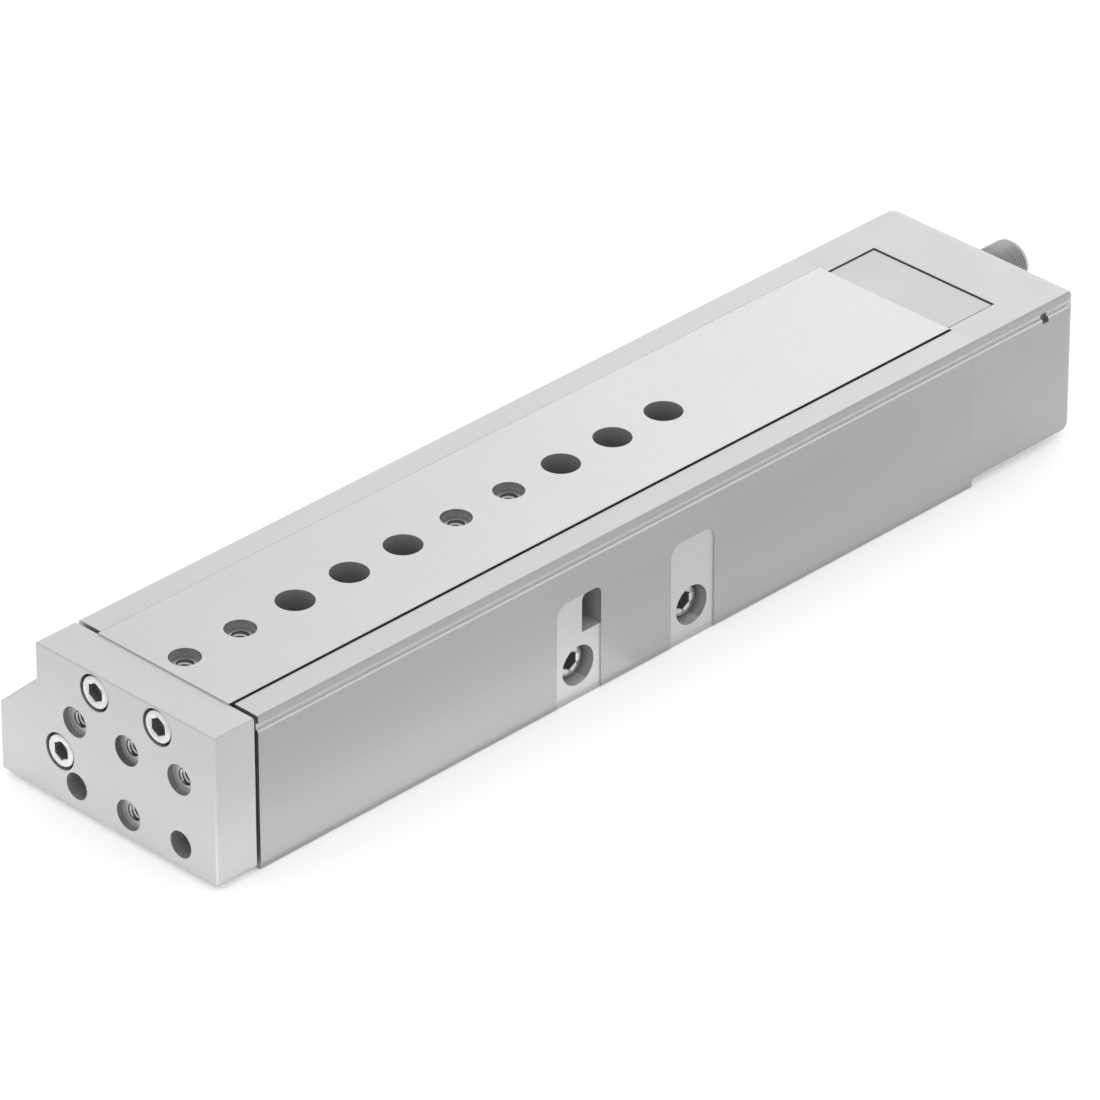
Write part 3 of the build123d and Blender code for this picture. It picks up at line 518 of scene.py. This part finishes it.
def brass_finish():
    """Rolled brass of the ball cages."""
    finish = Finish("cage_brass", finish_values().brass_colour, metallic=1.0, roughness=0.35)
    ground_lines(finish, 0.08)
    return finish.material


def rubber_finish():
    """Black seal rubber."""
    finish = Finish("seal_rubber", finish_values().rubber_colour, metallic=0.0, roughness=0.55)
    moulded_skin(finish)
    return finish.material


def magnet_finish():
    """Magnet powder in dark plastic."""
    finish = Finish("magnet_filled_plastic", (0.03, 0.03, 0.032), metallic=0.0, roughness=0.5)
    moulded_skin(finish, 0.2)
    return finish.material


def buffer_finish():
    """Pale plastic of the buffers."""
    finish = Finish("buffer_plastic", (0.72, 0.69, 0.60), metallic=0.0, roughness=0.5)
    moulded_skin(finish, 0.05)
    return finish.material


def turned_finish():
    """Turned and milled aluminium inside the table."""
    finish = Finish("turned_aluminium", (0.60, 0.60, 0.61), metallic=0.95, roughness=0.35)
    turned_rings(finish)
    return finish.material


def socket_shade_finish():
    """Painted shade: dark colour inside the screws' sockets, where little light reaches."""
    finish = Finish("painted_socket_shade", (0.2, 0.2, 0.205), metallic=0.7, roughness=0.5)
    moulded_skin(finish, 0.2)
    return finish.material


def absorber_finish():
    """Plated steel of the shock absorbers."""
    finish = Finish("absorber_steel", (0.42, 0.42, 0.43), metallic=1.0, roughness=0.32)
    turned_rings(finish, 0.4 * MM, 0.06)
    return finish.material


FINISHES = {
    "anodised_body": body_finish,
    "cast_cap": cap_finish,
    "ground_steel": slide_finish,
    "matte_steel": stop_plate_finish,
    "anodised_plate": plate_finish,
    "screw_steel": screw_finish,
    "hardened_steel": hard_steel_finish,
    "chromed_rod": chrome_finish,
    "ball_steel": ball_finish,
    "cage_brass": brass_finish,
    "seal_rubber": rubber_finish,
    "magnet_filled_plastic": magnet_finish,
    "buffer_plastic": buffer_finish,
    "turned_aluminium": turned_finish,
    "absorber_steel": absorber_finish,
    "painted_socket_shade": socket_shade_finish,
}
SLOT_OF = {part["node"]: part["material_slot"] for part in frame["record"]["subparts"]}


def finish_for(slot):
    """The material of a slot, made when it is first asked for."""
    return bpy.data.materials.get(finish_name(slot)) or FINISHES[slot]()


def dress(*names):
    """Gives CAD nodes the finish of their slots."""
    for name in names:
        mesh = frame["nodes"][name].data
        mesh.materials.clear()
        mesh.materials.append(finish_for(SLOT_OF[name]))


# Shapes: rings of points lofted along a local Z axis, and threads wound round it


def place_along(point, axis):
    """Matrix that puts a shape's origin at the point and its local Z along the axis."""
    return Matrix.Translation(point) @ Vector(axis).to_track_quat("Z", "Y").to_matrix().to_4x4()


def hexagon(width):
    """Distance to the side of a hexagon of that width across flats, by angle."""
    sixth = math.pi / 3
    return lambda angle: width / 2 / math.cos((angle + sixth / 2) % sixth - sixth / 2)


def rounded_hexagon(width, radius):
    """Hexagon whose corners are turned down to a radius."""
    side = hexagon(width)
    return lambda angle: min(side(angle), radius)


def knurled(radius, flutes, depth):
    """Circle with V-shaped flutes."""
    return lambda angle: radius - depth * abs(math.sin(angle * flutes / 2))


def ring_rows(mesh, matrix, rings, segments):
    """Vertices round each ring, which is a height and a radius or a function of the angle."""
    rows = []
    for height, radius in rings:
        row = []
        for step in range(segments):
            angle = 2 * math.pi * step / segments
            size = radius(angle) if callable(radius) else radius
            point = Vector((size * math.cos(angle), size * math.sin(angle), height))
            row.append(mesh.verts.new(matrix @ point))
        rows.append(row)
    return rows


def skin(mesh, lower, upper):
    """Faces between two closed rows of vertices."""
    faces = []
    for step in range(len(lower)):
        after = (step + 1) % len(lower)
        faces.append(mesh.faces.new((lower[step], lower[after], upper[after], upper[step])))
    return faces


def loft(mesh, matrix, rings, segments, inner_from=None):
    """Skin over rings, closed by flat ends.

    The skin after the ring inner_from takes the second material of the piece."""
    rows = ring_rows(mesh, matrix, rings, segments)
    inner_from = len(rings) if inner_from is None else inner_from
    for number, (lower, upper) in enumerate(zip(rows, rows[1:])):
        for face in skin(mesh, lower, upper):
            face.material_index = int(number >= inner_from)
    mesh.faces.new(rows[0][::-1])
    mesh.faces.new(rows[-1]).material_index = int(inner_from < len(rings))


def tube(mesh, matrix, rings, segments):
    """Skin over rings that come back to the first one, as round a nut's wall."""
    rows = ring_rows(mesh, matrix, rings, segments)
    for lower, upper in zip(rows, rows[1:] + rows[:1]):
        skin(mesh, lower, upper)


def wind_thread(mesh, matrix, root, crest, pitch, start, end, segments=36):
    """Closed V-shaped ridge wound from start to end along the local Z axis, from root to crest radius."""
    fade = segments // 2
    steps = int((end - start - pitch) / pitch * segments)
    rows = []
    for step in range(steps + 1):
        angle = 2 * math.pi * step / segments
        rise = start + pitch * step / segments
        reach = min(1.0, step / fade, (steps - step) / fade)
        tip = root + (crest - root) * reach
        row = []
        for radius, height in ((root, 0.06), (tip, 0.44), (tip, 0.56), (root, 0.94)):
            point = Vector((radius * math.cos(angle), radius * math.sin(angle), rise + pitch * height))
            row.append(mesh.verts.new(matrix @ point))
        rows.append(row)
    for before, after in zip(rows, rows[1:]):
        skin(mesh, before, after)
    mesh.faces.new(rows[0])
    mesh.faces.new(rows[-1][::-1])


def socket_head(mesh, matrix, nominal, head, height, socket, length):
    """Socket head screw, its head's top at the origin: knurled head, hexagon socket and threaded shank."""
    detail = detail_values()
    pitch = detail.m6_pitch if nominal > 5 * MM else detail.m4_pitch
    segments = detail.knurls * 4
    edge = 0.06 * head
    flutes = knurled(head / 2, detail.knurls, 0.018 * head)
    side = hexagon(socket)
    rings = [
        (-height - length, 0.7 * nominal / 2),
        (-height - length + 0.15 * nominal, 0.86 * nominal / 2),
        (-height, 0.86 * nominal / 2),
        (-height, 0.94 * head / 2),
        (-height + 0.5 * edge, flutes),
        (-1.6 * edge, flutes),
        (-1.4 * edge, 0.975 * head / 2),
        (-0.6 * edge, 0.955 * head / 2),
        (-0.15 * edge, 0.92 * head / 2),
        (0, 0.88 * head / 2),
        (0, 0.60 * socket),
        (-0.05 * socket, side),
        (-0.5 * height, side),
        (-0.5 * height, 0.46 * socket),
        (-0.5 * height - 0.12 * socket, 0.02 * socket),
    ]
    # The inside of the socket, from ring 11 on, takes the second material: painted shade
    loft(mesh, matrix, rings, segments, inner_from=11)
    wind_thread(
        mesh, matrix, 0.85 * nominal / 2, 0.99 * nominal / 2, pitch,
        -height - length + 0.1 * nominal, -height - 0.1 * nominal)


def hex_nut(mesh, matrix, width, height, bore, segments=72):
    """Hexagon nut, its middle at the origin, with turned-down corners and a countersunk bore."""
    chamfer = 0.07 * height
    side = rounded_hexagon(width, 1.12 * width / 2)
    end = rounded_hexagon(width, 0.99 * width / 2)
    half = height / 2
    tube(
        mesh, matrix,
        [
            (-half, bore / 2 + chamfer), (-half, end), (-half + 1.6 * chamfer, side),
            (half - 1.6 * chamfer, side), (half, end), (half, bore / 2 + chamfer),
            (half - chamfer, bore / 2), (-half + chamfer, bore / 2),
        ],
        segments)


def set_screw(mesh, matrix, nominal, socket, length):
    """Headless screw with a hexagon socket, its top at the origin, its thread all along."""
    core = 0.8 * nominal / 2
    side = hexagon(socket)
    rings = [
        (-length, 0.4 * nominal / 2), (-length + 0.2 * nominal, core), (-0.15 * nominal, core),
        (0, 0.7 * nominal / 2), (0, 0.6 * socket), (-0.05 * socket, side), (-socket, side),
        (-1.2 * socket, 0.02 * socket),
    ]
    loft(mesh, matrix, rings, detail_values().segments, inner_from=5)
    wind_thread(
        mesh, matrix, 0.98 * core, 0.99 * nominal / 2, detail_values().m2_pitch,
        -length + 0.1 * nominal, -0.1 * nominal)


def circlip(radius, width, gap, thickness, hole):
    """Mesh of a circlip that narrows towards two holed ears beside the gap at its lower side."""
    half_gap = math.asin(gap / 2 / radius)
    ear = half_gap + 2.6 * hole / radius
    start = -math.pi / 2
    outer, inner = [], []
    for step in range(97):
        turn = half_gap + (2 * math.pi - 2 * half_gap) * step / 96
        from_gap = min(turn, 2 * math.pi - turn)
        reach = width * (0.62 + 0.38 * math.sin(turn / 2))
        if from_gap < ear:
            reach = max(reach, 1.3 * width * math.cos((from_gap - half_gap) / (ear - half_gap) * 1.2))
        direction = Vector((math.cos(start + turn), math.sin(start + turn), 0))
        outer.append(direction * radius)
        inner.append(direction * (radius - reach))
    outlines = [outer + inner[::-1]]
    for side in (-1, 1):
        turn = start + side * (half_gap + 1.1 * hole / radius)
        middle = Vector((math.cos(turn), math.sin(turn), 0)) * (radius - 0.68 * width)
        outlines.append([
            middle + Vector((math.cos(angle), math.sin(angle), 0)) * hole / 2
            for angle in (math.pi * step / 12 for step in range(24))])
    curve = bpy.data.curves.new("circlip_outline", "CURVE")
    curve.dimensions = "2D"
    curve.fill_mode = "BOTH"
    bevel = 0.06 * thickness
    curve.bevel_depth = bevel
    curve.offset = -bevel
    curve.extrude = thickness / 2 - bevel
    for outline in outlines:
        spline = curve.splines.new("POLY")
        spline.points.add(len(outline) - 1)
        for point, place in zip(spline.points, outline):
            point.co = (*place, 1)
        spline.use_cyclic_u = True
    holder = bpy.data.objects.new("circlip_outline", curve)
    mesh = bmesh.new()
    mesh.from_mesh(bpy.data.meshes.new_from_object(holder))
    bpy.data.objects.remove(holder)
    bpy.data.curves.remove(curve)
    return mesh


def make_piece(name, mesh, slot, body, sharp=35.0):
    """Turns finished mesh code into a piece with its finish that rides on a body."""
    bmesh.ops.recalc_face_normals(mesh, faces=mesh.faces)
    data = bpy.data.meshes.new(name)
    mesh.to_mesh(data)
    mesh.free()
    piece = bpy.data.objects.new(name, data)
    bpy.context.scene.collection.objects.link(piece)
    data.materials.append(finish_for(slot))
    data.shade_smooth()
    data.set_sharp_from_angle(angle=math.radians(sharp))
    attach(piece, body)
    return piece


def body_of(node):
    """The body that a CAD node rides on."""
    bodies = frame["record"]["behaviour"]["bodies"]
    return next(body for body, members in bodies.items() if node in members)


def solid_boxes(node):
    """Lowest and highest corners of each separate solid in a CAD node, front to rear and left to right."""
    mesh = frame["nodes"][node].data
    group = {}

    def find(key):
        while group[key] != key:
            key = group[key]
        return key

    keys = [tuple(round(value, 6) for value in vertex.co) for vertex in mesh.vertices]
    for key in keys:
        group[key] = key
    for polygon in mesh.polygons:
        first = find(keys[polygon.vertices[0]])
        for index in polygon.vertices[1:]:
            group[find(keys[index])] = first
    solids = {}
    for key in set(keys):
        solids.setdefault(find(key), []).append(key)
    boxes = []
    for points in solids.values():
        low = Vector([min(point[axis] for point in points) for axis in range(3)])
        high = Vector([max(point[axis] for point in points) for axis in range(3)])
        boxes.append((low, high))
    return sorted(boxes, key=lambda box: (round(box[0].y, 4), round(box[0].x, 4), round(box[0].z, 4)))


def hole_points(name):
    """Centres of the holes of a bolt pattern mount."""
    mount = MOUNTS[name]
    axis = [abs(value) for value in mount["axis"]].index(1)
    first, second = [index for index in range(3) if index != axis]
    points = [Vector(mount["pos_m"])]
    for index, key in ((first, "spacing_x_mm"), (second, "spacing_y_mm")):
        spacing = mount["dims"].get(key)
        if spacing:
            step = Vector((0, 0, 0))
            step[index] = spacing * MM / 2
            points = [point + side * step for point in points for side in (-1, 1)]
    return points


def hole_ranges(name, across):
    """Least and greatest value of each coordinate given that the holes of a bolt pattern mount take up."""
    points = hole_points(name)
    first, last = points[0], points[-1]
    return {
        letter: (first["XYZ".index(letter)] - HOLE_REACH, last["XYZ".index(letter)] + HOLE_REACH)
        for letter in across}


# Operators: one for the stage and one for each piece or group of like pieces


def area_light(name, place, target, size, power, gloss_only=False):
    """Rectangular softbox that looks at a point, seen in gloss alone where asked."""
    data = bpy.data.lights.new(name, "AREA")
    data.shape = "RECTANGLE"
    data.size, data.size_y = size
    data.energy = power
    light = bpy.data.objects.new(name, data)
    light.location = place
    light.rotation_euler = (Vector(place) - Vector(target)).to_track_quat("Z", "Y").to_euler()
    light.visible_camera = False
    light.visible_diffuse = not gloss_only
    bpy.context.scene.collection.objects.link(light)


def floor_strip(name, middle, size, power):
    """Strip on the floor that looks up and brightens what is glossy above it."""
    x, y = middle
    area_light(name, (x, y, STRIP_HEIGHT), (x, y, 1.0), size, power, gloss_only=True)


class TABLE_OT_stage(bpy.types.Operator):
    """Camera, floor and soft studio lights"""

    bl_idname = "slide_table.stage"
    bl_label = "Stage"

    def execute(self, context):
        for name in ("Cube", "Light", "Camera"):
            left_over = bpy.data.objects.get(name)
            if left_over:
                bpy.data.objects.remove(left_over)
        values = stage_values()
        turn, rise = values.view_azimuth, values.view_elevation
        back = Vector((
            math.sin(turn) * math.cos(rise), -math.cos(turn) * math.cos(rise), math.sin(rise)))
        right = Vector((math.cos(turn), math.sin(turn), 0))
        up = back.cross(right)
        data = bpy.data.cameras.new("camera")
        data.lens = values.lens
        data.clip_end = 100
        camera = bpy.data.objects.new("camera", data)
        axes = Matrix((right, up, back)).transposed().to_4x4()
        camera.matrix_world = Matrix.Translation(Vector(values.aim) + back * values.view_distance) @ axes
        context.scene.collection.objects.link(camera)
        context.scene.camera = camera
        context.scene.view_settings.view_transform = "Standard"

        world = bpy.data.worlds.new("studio")
        world.use_nodes = True
        sky = world.node_tree.nodes["Background"]
        sky.inputs["Color"].default_value = (1, 1, 1, 1)
        sky.inputs["Strength"].default_value = values.sky_strength
        context.scene.world = world

        area_light("overhead_softbox", OVERHEAD_PLACE, (0, 0, 0), (1.6, 1.6), values.overhead_power)
        area_light("front_softbox", FRONT_PLACE, (0, -0.1, 0), (1.2, 0.8), values.front_power)
        for name, (middle, share) in SIDE_STRIPS.items():
            floor_strip(name, (SIDE_STRIP_X, middle), SIDE_STRIP_SIZE, values.strip_power * share)
        floor_strip("plate_strip", PLATE_STRIP, PLATE_STRIP_SIZE, values.plate_power)

        mesh = bmesh.new()
        bmesh.ops.create_grid(mesh, x_segments=1, y_segments=1, size=values.floor_size / 2)
        data = bpy.data.meshes.new("floor")
        mesh.to_mesh(data)
        mesh.free()
        floor = bpy.data.objects.new("floor", data)
        context.scene.collection.objects.link(floor)
        paper = Finish("studio_paper", values.floor_colour, metallic=0.0, roughness=0.9)
        paper.tone(paper.noise(0.4), 0.01)
        paper.shader.inputs["Emission Color"].default_value = (1, 1, 1, 1)
        paper.shader.inputs["Emission Strength"].default_value = values.floor_glow
        data.materials.append(paper.material)
        return {"FINISHED"}


class TABLE_OT_body(bpy.types.Operator):
    """Finishes of the housing, the rear cap and the stop carrier"""

    bl_idname = "slide_table.body"
    bl_label = "Body"

    def execute(self, context):
        dress("housing", "rear_cap", "stop_carrier")
        return {"FINISHED"}


class TABLE_OT_slide(bpy.types.Operator):
    """Finishes of the slide, its stop plate and the front plate"""

    bl_idname = "slide_table.slide"
    bl_label = "Slide"

    def execute(self, context):
        dress("slide", "stop_plate", "yoke")
        return {"FINISHED"}


class TABLE_OT_guide(bpy.types.Operator):
    """Finishes of the rails, cages, balls and end stops"""

    bl_idname = "slide_table.guide"
    bl_label = "Ball guide"

    def execute(self, context):
        dress(
            "left_rail", "right_rail", "left_cage", "right_cage", "left_balls", "right_balls",
            "guide_end_stops")
        mesh = bmesh.new()
        boxes = solid_boxes("end_stop_screws")
        middle = sum((low.y + high.y) / 2 for low, high in boxes) / len(boxes)
        for low, high in boxes:
            way = TRAVEL if low.y > middle else -TRAVEL
            span = high.y - low.y
            top = (low + high) / 2 + way * span / 2
            set_screw(mesh, place_along(top, way), high.x - low.x, socket=0.9 * MM, length=span)
        piece = make_piece("end_stop_set_screws", mesh, "screw_steel", "housing")
        # Second material: painted shade inside the sockets
        piece.data.materials.append(finish_for("painted_socket_shade"))
        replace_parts(piece, "end_stop_screws")
        return {"FINISHED"}


class TABLE_OT_cylinder(bpy.types.Operator):
    """Finishes of the rod, piston, gland and seals"""

    bl_idname = "slide_table.cylinder"
    bl_label = "Cylinder"

    def execute(self, context):
        dress(
            "piston_rod", "piston_front_half", "piston_rear_half", "piston_magnet", "piston_seals",
            "gland", "gland_o_ring", "rod_seal", "rod_wiper")
        low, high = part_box("gland_circlip")
        radius = (high.x - low.x) / 2
        middle = Vector(((low.x + high.x) / 2, (low.y + high.y) / 2, high.z - radius))
        mesh = circlip(radius, width=3 * MM, gap=8 * MM, thickness=high.y - low.y, hole=1.6 * MM)
        mesh.transform(Matrix.Translation(middle) @ Matrix.Rotation(math.pi / 2, 4, "X"))
        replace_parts(make_piece("gland_snap_ring", mesh, "hardened_steel", "housing"), "gland_circlip")
        low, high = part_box("piston_nut")
        mesh = bmesh.new()
        matrix = place_along((low + high) / 2, TRAVEL)
        hex_nut(mesh, matrix, min(high.x - low.x, high.z - low.z), high.y - low.y, bore=8 * MM)
        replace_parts(make_piece("piston_hex_nut", mesh, "screw_steel", "slide"), "piston_nut")
        return {"FINISHED"}


class TABLE_OT_absorbers(bpy.types.Operator):
    """Threaded barrels and lock nuts of the shock absorbers, and the finishes of their plungers"""

    bl_idname = "slide_table.absorbers"
    bl_label = "Shock absorbers"

    def execute(self, context):
        pitch = detail_values().barrel_pitch
        for side in ("front", "rear"):
            dress(f"{side}_absorber_plunger", f"{side}_absorber_bumper")
            self.barrel(f"{side}_absorber_barrel", 1 if side == "front" else -1, pitch)
            low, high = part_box(f"{side}_absorber_nut")
            mesh = bmesh.new()
            matrix = place_along((low + high) / 2, TRAVEL)
            hex_nut(mesh, matrix, high.z - low.z, high.y - low.y, bore=14 * MM)
            piece = make_piece(f"{side}_lock_nut", mesh, "screw_steel", "housing")
            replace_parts(piece, f"{side}_absorber_nut")
        return {"FINISHED"}

    def barrel(self, node, towards, pitch):
        """Threaded barrel with a smooth collar at its plunger end and a shallow round recess at the other.
        """
        low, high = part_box(node)
        radius = (high.z - low.z) / 2
        length = high.y - low.y
        middle = (low + high) / 2
        tip = Vector((middle.x, high.y if towards > 0 else low.y, middle.z))
        matrix = place_along(tip, TRAVEL * towards)
        core = radius - 0.55 * pitch
        bore = 2.1 * MM
        chamfer = 0.8 * MM
        rings = [
            (-length + 1.2 * MM, 0.35 * radius),
            (-length, 0.4 * radius),
            (-length, core - chamfer),
            (-length + chamfer, core),
            (-2.4 * MM, core),
            (-2.2 * MM, radius - 0.1 * MM),
            (-0.5 * MM, radius - 0.1 * MM),
            (0, radius - 0.6 * MM),
            (0, bore + 0.3 * MM),
            (-0.3 * MM, bore),
            (-21 * MM, bore),
        ]
        mesh = bmesh.new()
        loft(mesh, matrix, rings, detail_values().segments)
        wind_thread(
            mesh, matrix, core - 0.05 * MM, radius, pitch, -length + 0.4 * MM, -2.2 * MM,
            detail_values().segments)
        name = node.replace("absorber_barrel", "damper_barrel")
        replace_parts(make_piece(name, mesh, "absorber_steel", "housing"), node)


class TABLE_OT_screws(bpy.types.Operator):
    """Socket head screws with knurled heads and threads"""

    bl_idname = "slide_table.screws"
    bl_label = "Screws"

    def execute(self, context):
        for node, (nominal, head, height, socket), axis in (
            ("yoke_screws", M6_SCREW, (0, -1, 0)),
            ("rod_screw", M6_SCREW, (0, -1, 0)),
            ("clamp_screws", M6_SCREW, (1, 0, 0)),
            ("stop_plate_screws", M4_SCREW, (0, 1, 0)),
            ("cap_screws", M4_SCREW, (0, 1, 0)),
        ):
            mesh = bmesh.new()
            way = Vector(axis)
            for low, high in solid_boxes(node):
                span = (high - low).dot(Vector([abs(value) for value in axis]))
                top = (low + high) / 2 + way * span / 2
                socket_head(mesh, place_along(top, way), nominal, head, height, socket, span - height)
            piece = make_piece(f"{node}_threaded", mesh, "screw_steel", body_of(node))
            # Second material: painted shade inside the sockets
            piece.data.materials.append(finish_for("painted_socket_shade"))
            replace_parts(piece, node)
        return {"FINISHED"}


class TABLE_OT_threads(bpy.types.Operator):
    """Thread turns inside the tapped holes and air ports"""

    bl_idname = "slide_table.threads"
    bl_label = "Threads"

    def execute(self, context):
        detail = detail_values()
        for name, body, depth in (
            ("table_threads_front", "slide", 7.9), ("table_threads_rear", "slide", 7.9),
            ("yoke_threads_outer", "slide", 12.0), ("yoke_threads_middle", "slide", 12.0),
        ):
            mesh = bmesh.new()
            for point in hole_points(name):
                matrix = place_along(point, MOUNTS[name]["axis"])
                wind_thread(
                    mesh, matrix, *M6_TURNS, detail.m6_pitch, -depth * MM, 0.0, detail.segments // 2)
            make_piece(f"{name}_turns", mesh, "hardened_steel", body)
        mesh = bmesh.new()
        for name in ("front_air_port", "rear_air_port"):
            mount = MOUNTS[name]
            matrix = place_along(Vector(mount["pos_m"]), mount["axis"])
            wind_thread(
                mesh, matrix, *PORT_TURNS, detail.port_pitch, -7.4 * MM, -0.2 * MM, detail.segments)
        make_piece("air_port_turns", mesh, "anodised_body", "housing")
        return {"FINISHED"}


class TABLE_PT_dressing(bpy.types.Panel):
    """Sidebar panel with the steps and the values they read"""

    bl_label = "Slide table"
    bl_idname = "TABLE_PT_dressing"
    bl_space_type = "VIEW_3D"
    bl_region_type = "UI"
    bl_category = "Slide table"

    def draw(self, context):
        for operator in OPERATORS:
            self.layout.operator(operator.bl_idname)
        for group in (stage_values(), finish_values(), detail_values()):
            box = self.layout.box()
            for name in group.bl_rna.properties.keys():
                if name not in ("rna_type", "name"):
                    box.prop(group, name)


OPERATORS = (
    TABLE_OT_stage,
    TABLE_OT_body,
    TABLE_OT_slide,
    TABLE_OT_guide,
    TABLE_OT_cylinder,
    TABLE_OT_absorbers,
    TABLE_OT_screws,
    TABLE_OT_threads,
)
GROUPS = {
    "slide_table_stage": StageValues,
    "slide_table_finish": FinishValues,
    "slide_table_detail": DetailValues,
}


def register():
    for name, group in GROUPS.items():
        bpy.utils.register_class(group)
        setattr(bpy.types.Scene, name, PointerProperty(type=group))
    for operator in OPERATORS:
        bpy.utils.register_class(operator)
    bpy.utils.register_class(TABLE_PT_dressing)


def unregister():
    bpy.utils.unregister_class(TABLE_PT_dressing)
    for operator in reversed(OPERATORS):
        bpy.utils.unregister_class(operator)
    for name, group in GROUPS.items():
        delattr(bpy.types.Scene, name)
        bpy.utils.unregister_class(group)


def main():
    register()
    bpy.ops.slide_table.stage()
    bpy.ops.slide_table.body()
    bpy.ops.slide_table.slide()
    bpy.ops.slide_table.guide()
    bpy.ops.slide_table.cylinder()
    bpy.ops.slide_table.absorbers()
    bpy.ops.slide_table.screws()
    bpy.ops.slide_table.threads()


if __name__ == "__main__":
    main()
